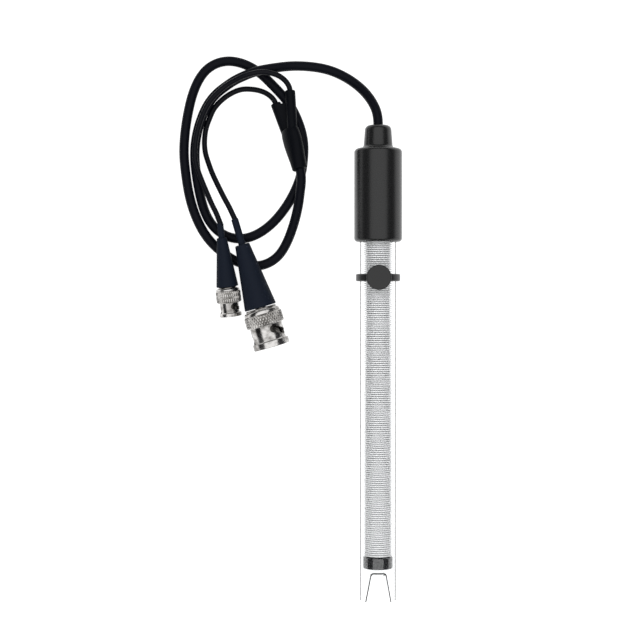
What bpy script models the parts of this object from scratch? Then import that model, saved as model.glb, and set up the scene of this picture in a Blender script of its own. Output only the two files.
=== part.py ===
"""Laboratory pH electrode, 12 mm body, lying on a bench with its cable and two bayonet plugs.

The electrode is modelled upright in a frame of its own: open tip at the origin, cable at the top,
front (the side with the filling hole) towards -Y. One empty then lays it down with its front up,
so that the tip's edge and the cap's side touch z = 0. Each plug has such a frame too, with its
mating end towards +Z. Lengths are metres.
"""

from math import acos, atan2, cos, degrees, pi, radians, sin
from types import SimpleNamespace

import bmesh
import bpy
import numpy as np
from mathutils import Matrix, Vector

MM = 0.001

# Gaps between pieces that touch, and round thin wires
FIT = 0.30 * MM
WIRE_FIT = 0.15 * MM

# Body tube, measured up from its open tip, with the guard's two notches and the filling hole
TUBE_DIAMETER = 12.0 * MM
TUBE_WALL = 0.7 * MM
SHAFT_LENGTH = 120.4 * MM
CAP_INSERTION = 10.0 * MM
GUARD_HEIGHT = 9.6 * MM
GUARD_TOP_WIDTH = 4.6 * MM
GUARD_MOUTH_WIDTH = 8.1 * MM
GUARD_CORNER_RADIUS = 0.9 * MM
FILL_HOLE_DIAMETER = 3.0 * MM
FILL_HOLE_BELOW_CAP = 12.0 * MM

# Cap, with the boss that the cable leaves through
CAP_DIAMETER = 16.0 * MM
CAP_HEIGHT = 31.2 * MM
CAP_RIM_RADIUS = 1.2 * MM
CAP_SHOULDER_RADIUS = 1.3 * MM
CAP_CAVITY_DIAMETER = 10.0 * MM
CAP_ROOF = 5.6 * MM
BOSS_HEIGHT = 7.8 * MM
BOSS_BASE_DIAMETER = 9.6 * MM
BOSS_TOP_DIAMETER = 8.9 * MM
BOSS_FILLET = 1.4 * MM
BOSS_EDGE_RADIUS = 1.7 * MM

# Rubber band over the filling hole, and its round button
BAND_THICKNESS = 1.12 * MM
BAND_HEIGHT = 2.45 * MM
BAND_EDGE_RADIUS = 0.35 * MM
BUTTON_DIAMETER = 8.3 * MM
BUTTON_PROUD = 1.9 * MM
BUTTON_EDGE_RADIUS = 0.5 * MM

# Glass stem, blown in one with the pH bulb
STEM_DIAMETER = 5.0 * MM
STEM_WALL = 0.5 * MM
STEM_ABOVE_TUBE = 3.6 * MM
BULB_DIAMETER = 7.8 * MM
BULB_WALL = 0.4 * MM
BULB_RECESS = 1.3 * MM

# Seal ring that holds the stem near the tip, with the ceramic junction through it
SEAL_BOTTOM = 10.85 * MM
SEAL_HEIGHT = 3.8 * MM
SEAL_EDGE_RADIUS = 0.45 * MM
JUNCTION_DIAMETER = 1.1 * MM
JUNCTION_PROUD = 0.3 * MM

# Ribbed reference sleeve between the seal ring and the top seal
SLEEVE_BORE = 6.9 * MM
RIB_ROOT_DIAMETER = 7.7 * MM
RIB_DIAMETER = 9.65 * MM
RIB_PITCH = 0.69 * MM

# Top seal in the tube's upper end, and the bung in the stem's
TOP_SEAL_DEPTH = 8.1 * MM
TOP_SEAL_FLANGE = 1.5 * MM
BUNG_DEPTH = 5.0 * MM
BUNG_FLANGE = 0.85 * MM

# Wires and sensor, with the places where they pass through the bung
WIRE_DIAMETER = 0.4 * MM
SILVER_TIP_DIAMETER = 0.8 * MM
SILVER_TIP_LENGTH = 5.5 * MM
SENSOR_DIAMETER = 1.2 * MM
MEASURING_WIRE_X = -0.95 * MM
SENSOR_X = 0.75 * MM
REFERENCE_WIRE_Y = 2.9 * MM
CORE_ABOVE_SEAL = 1.2 * MM
WIRE_IN_POTTING = 2.2 * MM

# Cables: the thick one from the cap, the two thin ones to the plugs, and the diameters from point to point
CABLE_DIAMETER = 3.1 * MM
BRANCH_DIAMETER = 1.7 * MM
CABLE_STEP = 2.4
BRANCH_STEP = 3.0

# Splitter: a thick sleeve where the cable divides, and a slim sleeve on each branch
SPLITTER_CABLE_END = Vector((-26.2, 65.2, 6.05)) * MM
SPLITTER_BRANCH_END = Vector((-29.8, 79.1, 3.92)) * MM
SPLITTER_ROUND_DIAMETER = 5.2 * MM
SPLITTER_WIDE = 8.5 * MM
SPLITTER_THICK = 5.4 * MM
SPLITTER_TAPER = 10.2 * MM
SPLITTER_LIP_RADIUS = 0.5 * MM
SPLITTER_RECESS = 1.5 * MM
BRANCH_SLEEVE_ROOT = 3.2 * MM
BRANCH_SLEEVE_TIP = 3.5 * MM
BRANCH_SLEEVE_INSERTION = 1.5 * MM
BRANCH_SLEEVE_RECESS = 1.4 * MM
BRANCH_SLEEVE_EDGE_RADIUS = 0.6 * MM
LARGE_BRANCH_ROOT = Vector((-31.1, 78.6, 2.35)) * MM
LARGE_BRANCH_TIP = Vector((-34.6, 88.1, 2.10)) * MM
SMALL_BRANCH_ROOT = Vector((-28.8, 78.6, 5.50)) * MM
SMALL_BRANCH_TIP = Vector((-29.6, 92.0, 5.10)) * MM

# Plugs: origin at the boot's wide end, heading of the mating end from -Y towards +X, nose down
LARGE_PLUG = SimpleNamespace(
    origin=Vector((-39.47, 18.74, 6.62)) * MM,
    heading=16.3,
    nose_down=1.6,
    fit=0.25 * MM,
    boot_length=22.0 * MM,
    boot_tip_diameter=5.0 * MM,
    boot_base_diameter=10.8 * MM,
    boot_bore=6.6 * MM,
    boot_bore_depth=10.0 * MM,
    boot_edge=0.3 * MM,
    neck_diameter=2.4 * MM,
    neck_length=9.0 * MM,
    tail_diameter=3.8 * MM,
    tail_bore=2.4 * MM,
    tail_length=9.0 * MM,
    ferrule_wall=0.75 * MM,
    ferrule_length=8.0 * MM,
    collar_diameter=10.4 * MM,
    collar_length=1.7 * MM,
    inner_diameter=8.1 * MM,
    inner_bore=6.6 * MM,
    inner_end=12.8 * MM,
    web=0.9 * MM,
    insulator_end=6.5 * MM,
    insulator_nose_diameter=4.2 * MM,
    insulator_nose_end=10.0 * MM,
    pin_diameter=1.35 * MM,
    pin_tail_diameter=1.8 * MM,
    pin_tail_length=6.0 * MM,
    pin_end=11.6 * MM,
    knurl_diameter=12.9 * MM,
    knurl_end=6.2 * MM,
    knurl_teeth=16,
    knurl_depth=0.32 * MM,
    edge=0.3 * MM,
    barrel_diameter=11.1 * MM,
    barrel_bore=9.75 * MM,
    flange_diameter=12.4 * MM,
    flange_start=11.6 * MM,
    nose=13.8 * MM,
    shoulder=1.2 * MM,
    washer_thickness=0.22 * MM,
    washer_wave=0.14 * MM,
    snap_ring_thickness=0.4 * MM,
    snap_ring_grip=0.35 * MM,
    groove_fit=0.12 * MM,
    snap_ring_overlap=0.25 * MM,
    gasket_height=1.0 * MM,
    slot_width=2.2 * MM,
    entry_wall=0.43 * MM,
    detent_diameter=2.6 * MM,
    detent_height=8.0 * MM,
)
SMALL_PLUG = SimpleNamespace(
    origin=Vector((-50.74, 25.81, 4.95)) * MM,
    heading=6.3,
    nose_down=6.2,
    fit=0.15 * MM,
    boot_length=16.5 * MM,
    boot_tip_diameter=3.4 * MM,
    boot_base_diameter=7.4 * MM,
    boot_bore=4.2 * MM,
    boot_bore_depth=7.4 * MM,
    boot_edge=0.2 * MM,
    neck_diameter=2.2 * MM,
    neck_length=5.0 * MM,
    tail_diameter=2.3 * MM,
    tail_bore=1.4 * MM,
    tail_length=6.6 * MM,
    ferrule_wall=0.55 * MM,
    ferrule_length=5.8 * MM,
    collar_diameter=5.9 * MM,
    collar_length=1.0 * MM,
    inner_diameter=4.4 * MM,
    inner_bore=3.4 * MM,
    inner_end=9.4 * MM,
    web=0.6 * MM,
    insulator_end=4.8 * MM,
    insulator_nose_diameter=2.2 * MM,
    insulator_nose_end=7.2 * MM,
    pin_diameter=0.8 * MM,
    pin_tail_diameter=1.0 * MM,
    pin_tail_length=4.4 * MM,
    pin_end=8.4 * MM,
    knurl_diameter=8.4 * MM,
    knurl_end=5.4 * MM,
    knurl_teeth=12,
    knurl_depth=0.24 * MM,
    edge=0.2 * MM,
    barrel_diameter=6.4 * MM,
    barrel_bore=5.5 * MM,
    flange_diameter=7.56 * MM,
    flange_start=8.9 * MM,
    nose=10.1 * MM,
    shoulder=0.8 * MM,
    washer_thickness=0.16 * MM,
    washer_wave=0.10 * MM,
    snap_ring_thickness=0.3 * MM,
    snap_ring_grip=0.20 * MM,
    groove_fit=0.08 * MM,
    snap_ring_overlap=0.15 * MM,
    gasket_height=0.8 * MM,
    slot_width=1.45 * MM,
    entry_wall=0.39 * MM,
    detent_diameter=1.7 * MM,
    detent_height=6.7 * MM,
)
DETENT_ANGLE = 65.0
RAMP_TURN = -80.0
BAYONET_LUGS = 2
SNAP_RING_OPENING = 30.0
WASHER_WAVES = 3

# Fineness of the round work
SEGMENTS = 24
FINE_SEGMENTS = 12
RIB_SEGMENTS = 8
WIRE_SEGMENTS = 8
ARC_STEPS = 3
EDGE_STEPS = 2
RAMP_STEPS = 5
SPLITTER_STEPS = 6
CABLE_BEVEL_STEPS = 2
WELD = 0.00001 * MM
CUT_MARGIN = 1.0 * MM
SHARP_EDGE = 35.0

# Sizes that follow from the ones above
TUBE_RADIUS = TUBE_DIAMETER / 2
TUBE_BORE_RADIUS = TUBE_RADIUS - TUBE_WALL
TUBE_TOP = SHAFT_LENGTH + CAP_INSERTION
FILL_HOLE_HEIGHT = SHAFT_LENGTH - FILL_HOLE_BELOW_CAP
TOP_SEAL_BOTTOM = TUBE_TOP - TOP_SEAL_DEPTH
SLEEVE_TOP = TOP_SEAL_BOTTOM - FIT
STEM_RADIUS = STEM_DIAMETER / 2
STEM_BORE_RADIUS = STEM_RADIUS - STEM_WALL
STEM_TOP = TUBE_TOP + STEM_ABOVE_TUBE
BULB_CENTRE = BULB_RECESS + BULB_DIAMETER / 2
BUNG_TOP = STEM_TOP + WIRE_FIT + BUNG_FLANGE
CAP_RADIUS = CAP_DIAMETER / 2
CAP_TOP = SHAFT_LENGTH + CAP_HEIGHT
CAP_CAVITY_TOP = CAP_TOP - CAP_ROOF
CAP_SOCKET_TOP = TUBE_TOP + TOP_SEAL_FLANGE + 2 * FIT
SEAL_TOP = SEAL_BOTTOM + SEAL_HEIGHT
CORE_BOTTOM = SEAL_TOP + CORE_ABOVE_SEAL
JUNCTION_X = (TUBE_BORE_RADIUS + STEM_RADIUS) / 2
ELECTRODE_LENGTH = CAP_TOP + BOSS_HEIGHT
WIRE_TOP = BUNG_TOP + FIT + WIRE_IN_POTTING
REST_TILT = atan2(CAP_RADIUS - TUBE_RADIUS, SHAFT_LENGTH + CAP_RIM_RADIUS)

# Routes of the cables, chosen by eye along their runs, in millimetres
CABLE_ROUTE = [
    (0.0, 66.3, 8.4), (0.0, 72.5, 8.5), (0.0, 78.4, 8.6), (-0.08, 81.7, 8.58),
    (-0.55, 84.4, 8.12), (-1.5, 86.9, 7.15), (-2.9, 89.4, 5.85), (-4.7, 91.8, 4.5),
    (-7.0, 94.1, 3.3), (-9.9, 96.3, 2.35), (-13.52, 98.32, 1.6), (-17.47, 99.7, 1.55),
    (-21.92, 100.51, 1.55), (-26.3, 100.8, 1.75), (-30.69, 100.5, 2.75), (-34.5, 99.8, 4.1),
    (-37.9, 99.1, 4.95), (-41.4, 98.3, 4.95), (-45.0, 97.1, 4.0), (-48.3, 95.8, 2.7),
    (-51.2, 94.1, 1.8), (-54.2, 91.8, 1.55), (-57.2, 88.3, 1.55), (-59.3, 84.2, 1.55),
    (-60.9, 79.4, 1.55), (-61.8, 74.49, 1.55), (-62.0, 69.6, 1.55), (-61.6, 64.8, 1.55),
    (-60.8, 59.7, 1.55), (-59.7, 54.7, 1.55), (-57.9, 49.7, 1.55), (-54.7, 45.3, 1.55),
    (-50.3, 42.7, 1.55), (-45.51, 42.2, 1.55), (-40.82, 43.68, 1.55), (-36.61, 46.56, 1.55),
    (-32.87, 50.5, 1.55), (-29.69, 55.15, 1.55), (-27.2, 60.2, 1.55), (-25.7, 65.1, 1.55),
    (-25.1, 69.9, 1.55), (-25.1, 74.7, 1.55), (-26.0, 79.3, 1.55), (-27.7, 83.8, 1.55),
    (-30.1, 88.1, 1.55), (-33.0, 91.6, 1.55), (-36.18, 94.92, 1.55), (-39.43, 97.98, 1.55),
    (-42.77, 100.28, 1.55), (-46.54, 101.87, 1.55), (-50.8, 102.46, 1.55), (-54.9, 101.55, 1.55),
    (-58.29, 99.26, 1.55), (-60.81, 95.79, 1.55), (-62.74, 91.22, 1.55), (-64.07, 86.07, 1.55),
    (-65.0, 80.79, 1.55), (-65.55, 75.69, 1.55), (-65.68, 70.6, 1.55), (-65.21, 65.12, 1.55),
    (-64.4, 59.43, 1.55), (-63.14, 53.89, 1.55), (-61.2, 48.54, 1.55), (-58.68, 43.85, 1.55),
    (-55.52, 39.96, 1.55), (-51.81, 36.84, 1.55), (-47.5, 34.28, 1.55), (-42.8, 32.94, 1.55),
    (-37.96, 33.51, 1.55), (-33.84, 36.14, 1.55), (-31.08, 40.17, 1.6), (-29.14, 44.78, 2.1),
    (-27.7, 49.4, 3.2), (-26.7, 54.0, 4.4), (-26.1, 58.4, 5.4), (-25.8, 62.2, 6.15),
    (-26.2, 65.2, 6.05), (-26.5, 66.3, 5.87),
]
LARGE_BRANCH_ROUTE = [
    (-34.2, 87.0, 2.13), (-34.8, 88.6, 2.09), (-36.2, 90.4, 1.8), (-38.0, 91.7, 1.25),
    (-40.32, 92.62, 0.9), (-43.01, 93.03, 0.85), (-45.96, 92.98, 0.85), (-48.82, 92.05, 0.85),
    (-51.6, 90.4, 0.85), (-54.0, 88.29, 0.85), (-55.81, 85.92, 0.85), (-57.02, 83.19, 0.85),
    (-58.06, 80.37, 0.85), (-58.64, 77.33, 0.85), (-58.77, 74.2, 0.95), (-58.37, 71.09, 1.5),
    (-57.4, 68.0, 2.5), (-56.18, 64.77, 3.7), (-54.71, 61.55, 4.9), (-53.12, 58.34, 5.95),
    (-51.52, 55.24, 6.75), (-49.89, 52.26, 7.25), (-48.25, 48.8, 7.49),
]
SMALL_BRANCH_ROUTE = [
    (-29.5, 90.9, 5.13), (-29.7, 92.6, 5.15), (-30.5, 94.3, 5.5), (-32.0, 95.8, 6.2),
    (-34.26, 96.98, 7.0), (-36.84, 97.57, 7.6), (-39.39, 97.7, 7.78), (-42.07, 97.3, 7.68),
    (-44.9, 96.6, 6.98), (-48.1, 95.3, 5.78), (-51.1, 93.7, 4.75), (-54.1, 91.3, 4.28),
    (-57.0, 87.9, 4.27), (-59.1, 83.8, 4.27), (-60.7, 79.1, 4.27), (-61.6, 74.2, 4.27),
    (-61.8, 71.1, 4.27), (-61.6, 68.2, 4.27), (-60.8, 65.2, 4.3), (-59.7, 62.3, 4.55),
    (-58.5, 59.4, 5.0), (-57.1, 56.2, 5.7), (-55.7, 53.1, 6.55), (-54.2, 50.1, 7.2),
    (-53.1, 47.3, 7.3),
]

# Materials: colour, roughness, metallic, transmission
MATERIALS = {
    "clear_body": ((0.90, 0.93, 0.94), 0.05, 0.0, 0.92),
    "stem_glass": ((0.93, 0.96, 0.96), 0.02, 0.0, 0.95),
    "pale_sleeve": ((0.74, 0.75, 0.76), 0.45, 0.0, 0.0),
    "black_plastic": ((0.030, 0.030, 0.031), 0.35, 0.0, 0.0),
    "black_rubber": ((0.018, 0.018, 0.019), 0.55, 0.0, 0.0),
    "seal_rubber": ((0.012, 0.012, 0.013), 0.12, 0.0, 0.0),
    "cable_jacket": ((0.010, 0.011, 0.014), 0.42, 0.0, 0.0),
    "boot_rubber": ((0.014, 0.018, 0.026), 0.60, 0.0, 0.0),
    "nickel": ((0.66, 0.65, 0.64), 0.22, 1.0, 0.0),
    "gilt": ((0.83, 0.62, 0.28), 0.25, 1.0, 0.0),
    "white_ptfe": ((0.88, 0.88, 0.86), 0.40, 0.0, 0.0),
    "ceramic": ((0.86, 0.84, 0.80), 0.70, 0.0, 0.0),
    "silver_wire": ((0.55, 0.54, 0.53), 0.35, 1.0, 0.0),
    "spring_steel": ((0.50, 0.50, 0.51), 0.30, 1.0, 0.0),
    "silicone": ((0.72, 0.16, 0.10), 0.50, 0.0, 0.0),
    "epoxy": ((0.05, 0.05, 0.055), 0.30, 0.0, 0.0),
}


def material(name):
    """The material of that name, made the first time that a piece asks for it."""
    found = bpy.data.materials.get(name)
    if found:
        return found
    colour, roughness, metallic, transmission = MATERIALS[name]
    made = bpy.data.materials.new(name)
    made.use_nodes = True
    shader = made.node_tree.nodes["Principled BSDF"]
    shader.inputs["Base Color"].default_value = (*colour, 1.0)
    shader.inputs["Roughness"].default_value = roughness
    shader.inputs["Metallic"].default_value = metallic
    shader.inputs["Transmission Weight"].default_value = transmission
    made.diffuse_color = (*colour, 1.0)
    return made


def add_object(name, bm, look, parent):
    """An object with that mesh, faces outward and smooth shaded, in its parent's frame."""
    bmesh.ops.recalc_face_normals(bm, faces=bm.faces)
    if bm.calc_volume(signed=True) < 0:
        bmesh.ops.reverse_faces(bm, faces=bm.faces)
    mesh = bpy.data.meshes.new(name)
    bm.to_mesh(mesh)
    bm.free()
    mesh.shade_smooth()
    mesh.set_sharp_from_angle(angle=radians(SHARP_EDGE))
    if look:
        mesh.materials.append(material(look))
    made = bpy.data.objects.new(name, mesh)
    made.parent = parent
    bpy.context.collection.objects.link(made)
    return made


def add_frame(name, matrix):
    """An empty that carries pieces, placed by a world matrix."""
    frame = bpy.data.objects.new(name, None)
    frame.empty_display_size = 5 * MM
    frame.matrix_world = matrix
    bpy.context.collection.objects.link(frame)
    return frame


def arc(centre_r, centre_z, radius, start, end, steps=ARC_STEPS):
    """Points of an arc in the (r, z) plane, from one angle in degrees to another."""
    turns = [radians(start + (end - start) * i / steps) for i in range(steps + 1)]
    return [(centre_r + radius * cos(a), centre_z + radius * sin(a)) for a in turns]


def spun(profile, segments=SEGMENTS):
    """A mesh turned about Z, from a ring of (r, z) points or a line whose ends meet the axis."""
    bm = bmesh.new()
    points = [bm.verts.new((r, 0.0, z)) for r, z in profile]
    pairs = list(zip(points, points[1:]))
    if profile[0][0] > 0:
        pairs.append((points[-1], points[0]))
    edges = [bm.edges.new(pair) for pair in pairs]
    bmesh.ops.spin(
        bm,
        geom=points + edges,
        cent=(0, 0, 0),
        axis=(0, 0, 1),
        angle=2 * pi,
        steps=segments,
        use_merge=True,
    )
    bmesh.ops.remove_doubles(bm, verts=bm.verts, dist=WELD)
    return bm


def turned(name, profile, look, parent, segments=SEGMENTS):
    """A piece turned about its frame's Z axis."""
    return add_object(name, spun(profile, segments), look, parent)


def rod_profile(radius, bottom, top, edge=0.0):
    """Profile of a solid rod, with its ends rounded off where an edge radius is given."""
    if not edge:
        return [(0, bottom), (radius, bottom), (radius, top), (0, top)]
    lower = arc(radius - edge, bottom + edge, edge, -90, 0, EDGE_STEPS)
    upper = arc(radius - edge, top - edge, edge, 0, 90, EDGE_STEPS)
    return [(0, bottom), *lower, *upper, (0, top)]


def ring_profile(bore, outer, bottom, top, edge=0.0):
    """Profile of a ring, with its outer edges rounded off where an edge radius is given."""
    if not edge:
        return [(bore, bottom), (outer, bottom), (outer, top), (bore, top)]
    lower = arc(outer - edge, bottom + edge, edge, -90, 0, EDGE_STEPS)
    upper = arc(outer - edge, top - edge, edge, 0, 90, EDGE_STEPS)
    return [(bore, bottom), *lower, *upper, (bore, top)]


def skinned(sections, looped=False):
    """A mesh through rings of points, closed by end faces unless it is looped."""
    bm = bmesh.new()
    rings = [[bm.verts.new(p) for p in section] for section in sections]
    pairs = list(zip(rings, rings[1:]))
    if looped:
        pairs.append((rings[-1], rings[0]))
    else:
        bm.faces.new(rings[0])
        bm.faces.new(rings[-1])
    count = len(rings[0])
    for one, two in pairs:
        for i in range(count):
            j = (i + 1) % count
            bm.faces.new((one[i], one[j], two[j], two[i]))
    return bm


def cut(piece, name, bm, matrix=Matrix.Identity(4)):
    """Takes a shape out of a piece, in the piece's own frame."""
    boolean(piece, name, bm, matrix, "DIFFERENCE")


def boolean(piece, name, bm, matrix, operation):
    """Joins a shape to a piece or takes it out. The shape stays as a hidden wire."""
    bm.transform(matrix)
    tool = add_object(name, bm, None, piece.parent)
    tool.display_type = "WIRE"
    tool.hide_render = True
    change = piece.modifiers.new(name, "BOOLEAN")
    change.object = tool
    change.operation = operation
    change.solver = "EXACT"


def along(start, direction, upward):
    """Matrix of a frame at a point, with Z along a direction and Y as near as can be to upward."""
    z_axis = direction.normalized()
    x_axis = upward.cross(z_axis).normalized()
    y_axis = z_axis.cross(x_axis)
    rotation = Matrix((x_axis, y_axis, z_axis)).transposed().to_4x4()
    return Matrix.Translation(start) @ rotation


def electrode_frame():
    """Lays the electrode down: front up, tip towards -Y, its box centred on the origin."""
    low_end = -TUBE_RADIUS * sin(REST_TILT)
    boss_flat = BOSS_TOP_DIAMETER / 2 - BOSS_EDGE_RADIUS
    high_end = ELECTRODE_LENGTH * cos(REST_TILT) + boss_flat * sin(REST_TILT)
    tip = Vector((0, -(low_end + high_end) / 2, TUBE_RADIUS * cos(REST_TILT)))
    laid_down = Matrix.Rotation(REST_TILT - pi / 2, 4, "X")
    return add_frame("electrode_frame", Matrix.Translation(tip) @ laid_down)


def outer_tube(frame):
    """Clear body tube, open at the tip, where two notches leave a guard round the bulb."""
    profile = ring_profile(TUBE_BORE_RADIUS, TUBE_RADIUS, 0, TUBE_TOP)
    tube = turned("outer_tube", profile, "clear_body", frame)
    slope = (GUARD_MOUTH_WIDTH - GUARD_TOP_WIDTH) / 2 / GUARD_HEIGHT
    mouth = GUARD_MOUTH_WIDTH / 2 + slope * CUT_MARGIN
    half_top = GUARD_TOP_WIDTH / 2
    below = -CUT_MARGIN
    outline = [(-mouth, below), (mouth, below), (half_top, GUARD_HEIGHT), (-half_top, GUARD_HEIGHT)]
    reach = TUBE_RADIUS + CUT_MARGIN
    notch = skinned([[(x, y, z) for x, z in outline] for y in (-reach, reach)])
    top_edges = [e for e in notch.edges if all(v.co.z > GUARD_HEIGHT - WELD for v in e.verts)]
    bmesh.ops.bevel(
        notch,
        geom=[e for e in top_edges if abs(e.verts[0].co.x - e.verts[1].co.x) < WELD],
        offset=GUARD_CORNER_RADIUS,
        segments=ARC_STEPS,
        affect="EDGES",
        profile=0.5,
    )
    cut(tube, "guard_notch_cutter", notch)
    hole = spun(rod_profile(FILL_HOLE_DIAMETER / 2, 0, TUBE_RADIUS + CUT_MARGIN), FINE_SEGMENTS)
    to_front = Matrix.Translation((0, 0, FILL_HOLE_HEIGHT)) @ Matrix.Rotation(pi / 2, 4, "X")
    cut(tube, "fill_hole_cutter", hole, to_front)


def cap(frame):
    """Moulded cap: socket for the tube, cavity for the potting, and a boss with the cable's channel."""
    rim = SHAFT_LENGTH
    round_rim = CAP_RIM_RADIUS
    round_shoulder = CAP_SHOULDER_RADIUS
    round_edge = BOSS_EDGE_RADIUS
    socket = TUBE_RADIUS + FIT
    cavity = CAP_CAVITY_DIAMETER / 2
    channel = CABLE_DIAMETER / 2 + FIT
    base = BOSS_BASE_DIAMETER / 2
    top = BOSS_TOP_DIAMETER / 2
    profile = [(socket, rim)]
    profile += arc(CAP_RADIUS - round_rim, rim + round_rim, round_rim, -90, 0)
    profile += arc(CAP_RADIUS - round_shoulder, CAP_TOP - round_shoulder, round_shoulder, 0, 90)
    profile += arc(base + BOSS_FILLET, CAP_TOP + BOSS_FILLET, BOSS_FILLET, 270, 180)
    profile += arc(top - round_edge, ELECTRODE_LENGTH - round_edge, round_edge, 0, 90)
    profile += [
        (channel, ELECTRODE_LENGTH),
        (channel, CAP_CAVITY_TOP),
        (cavity, CAP_CAVITY_TOP),
        (cavity, CAP_SOCKET_TOP),
        (socket, CAP_SOCKET_TOP),
    ]
    turned("cap", profile, "black_plastic", frame)


def fill_band(frame):
    """Rubber band that slides along the tube, with a round button over the filling hole."""
    at_hole = add_frame("fill_band_frame", Matrix.Identity(4))
    at_hole.parent = frame
    at_hole.location = (0, 0, FILL_HOLE_HEIGHT)
    bore = TUBE_RADIUS + FIT
    outer = bore + BAND_THICKNESS
    half = BAND_HEIGHT / 2
    profile = ring_profile(bore, outer, -half, half, BAND_EDGE_RADIUS)
    band = turned("fill_band", profile, "black_rubber", at_hole)
    button = spun(rod_profile(BUTTON_DIAMETER / 2, 0, bore + BUTTON_PROUD, BUTTON_EDGE_RADIUS))
    boolean(band, "fill_button", button, Matrix.Rotation(pi / 2, 4, "X"), "UNION")
    reach = BUTTON_DIAMETER / 2 + CUT_MARGIN
    cut(band, "fill_band_bore_cutter", spun(rod_profile(bore, -reach, reach)))


def glass_stem(frame):
    """Glass stem with the thin pH bulb blown on its lower end, open at the top."""
    outer = BULB_DIAMETER / 2
    inner = outer - BULB_WALL
    outer_join = degrees(acos(STEM_RADIUS / outer))
    inner_join = degrees(acos(STEM_BORE_RADIUS / inner))
    steps = 2 * ARC_STEPS + 1
    profile = [(0, BULB_CENTRE - outer), *arc(0, BULB_CENTRE, outer, -90, outer_join, steps)[1:]]
    profile += [(STEM_RADIUS, STEM_TOP), (STEM_BORE_RADIUS, STEM_TOP)]
    profile += [*arc(0, BULB_CENTRE, inner, inner_join, -90, steps)[:-1], (0, BULB_CENTRE - inner)]
    turned("glass_stem", profile, "stem_glass", frame, FINE_SEGMENTS)


def seal_ring(frame):
    """Glossy ring that centres the stem in the tube, drilled for the junction."""
    outer = TUBE_BORE_RADIUS - FIT
    bore = STEM_RADIUS + FIT
    profile = ring_profile(bore, outer, SEAL_BOTTOM, SEAL_TOP, SEAL_EDGE_RADIUS)
    ring = turned("seal_ring", profile, "seal_rubber", frame, FINE_SEGMENTS)
    radius = JUNCTION_DIAMETER / 2 + WIRE_FIT
    hole = spun(rod_profile(radius, SEAL_BOTTOM - CUT_MARGIN, SEAL_TOP + CUT_MARGIN), WIRE_SEGMENTS)
    cut(ring, "junction_hole_cutter", hole, Matrix.Translation((JUNCTION_X, 0, 0)))


def ceramic_junction(frame):
    """Porous pin through the seal ring, where the reference solution meets the sample."""
    profile = rod_profile(JUNCTION_DIAMETER / 2, SEAL_BOTTOM - JUNCTION_PROUD, SEAL_TOP)
    junction = turned("ceramic_junction", profile, "ceramic", frame, WIRE_SEGMENTS)
    junction.location = (JUNCTION_X, 0, 0)


def ribbed_sleeve(frame):
    """Pale sleeve round the stem, with a fine rib at every pitch along its whole length."""
    bottom = SEAL_TOP + FIT
    root = RIB_ROOT_DIAMETER / 2
    tip = RIB_DIAMETER / 2
    ribs = int((SLEEVE_TOP - bottom) / RIB_PITCH)
    profile = [(SLEEVE_BORE / 2, bottom), (root, bottom)]
    for i in range(ribs):
        profile += [(tip, bottom + (i + 0.5) * RIB_PITCH), (root, bottom + (i + 1) * RIB_PITCH)]
    if SLEEVE_TOP - profile[-1][1] > WELD:
        profile.append((root, SLEEVE_TOP))
    profile.append((SLEEVE_BORE / 2, SLEEVE_TOP))
    turned("ribbed_sleeve", profile, "pale_sleeve", frame, RIB_SEGMENTS)


def top_seal(frame):
    """Stopper in the tube's upper end, flanged over its rim, with a way through for the wire."""
    bore = STEM_RADIUS + FIT
    plug = TUBE_BORE_RADIUS - FIT
    bottom = TOP_SEAL_BOTTOM
    under_flange = TUBE_TOP + FIT
    top = under_flange + TOP_SEAL_FLANGE
    profile = [(bore, bottom), (plug, bottom), (plug, under_flange), (TUBE_RADIUS, under_flange)]
    profile += [(TUBE_RADIUS, top), (bore, top)]
    seal = turned("top_seal", profile, "black_rubber", frame)
    groove = rod_profile(WIRE_DIAMETER / 2 + WIRE_FIT, bottom - CUT_MARGIN, top + CUT_MARGIN)
    place = Matrix.Translation((0, REFERENCE_WIRE_Y, 0))
    cut(seal, "wire_groove_cutter", spun(groove, WIRE_SEGMENTS), place)


def stem_bung(frame):
    """Small bung in the stem's top, with a hole for the measuring wire and one for the sensor."""
    plug = STEM_BORE_RADIUS - WIRE_FIT
    under_flange = STEM_TOP + WIRE_FIT
    bottom = STEM_TOP - BUNG_DEPTH
    profile = [(0, bottom), (plug, bottom), (plug, under_flange), (STEM_RADIUS, under_flange)]
    profile += [(STEM_RADIUS, BUNG_TOP), (0, BUNG_TOP)]
    bung = turned("stem_bung", profile, "black_rubber", frame, FINE_SEGMENTS)
    for name, x, diameter in (
        ("wire_hole_cutter", MEASURING_WIRE_X, WIRE_DIAMETER),
        ("sensor_hole_cutter", SENSOR_X, SENSOR_DIAMETER),
    ):
        hole = rod_profile(diameter / 2 + WIRE_FIT, bottom - CUT_MARGIN, BUNG_TOP + CUT_MARGIN)
        cut(bung, name, spun(hole, WIRE_SEGMENTS), Matrix.Translation((x, 0, 0)))


def cap_potting(frame):
    """Resin in the cap's cavity, cast round the upper ends of the wires and the sensor."""
    bottom = BUNG_TOP + FIT
    profile = rod_profile(CAP_CAVITY_DIAMETER / 2 - FIT, bottom, CAP_CAVITY_TOP - FIT)
    potting = turned("cap_potting", profile, "epoxy", frame)
    for name, place, diameter in (
        ("measuring_wire_pocket", (MEASURING_WIRE_X, 0, 0), WIRE_DIAMETER),
        ("sensor_pocket", (SENSOR_X, 0, 0), SENSOR_DIAMETER),
        ("reference_wire_pocket", (0, REFERENCE_WIRE_Y, 0), WIRE_DIAMETER),
    ):
        pocket = rod_profile(diameter / 2 + WIRE_FIT, bottom - CUT_MARGIN, WIRE_TOP + WIRE_FIT)
        cut(potting, name, spun(pocket, WIRE_SEGMENTS), Matrix.Translation(place))


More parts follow.
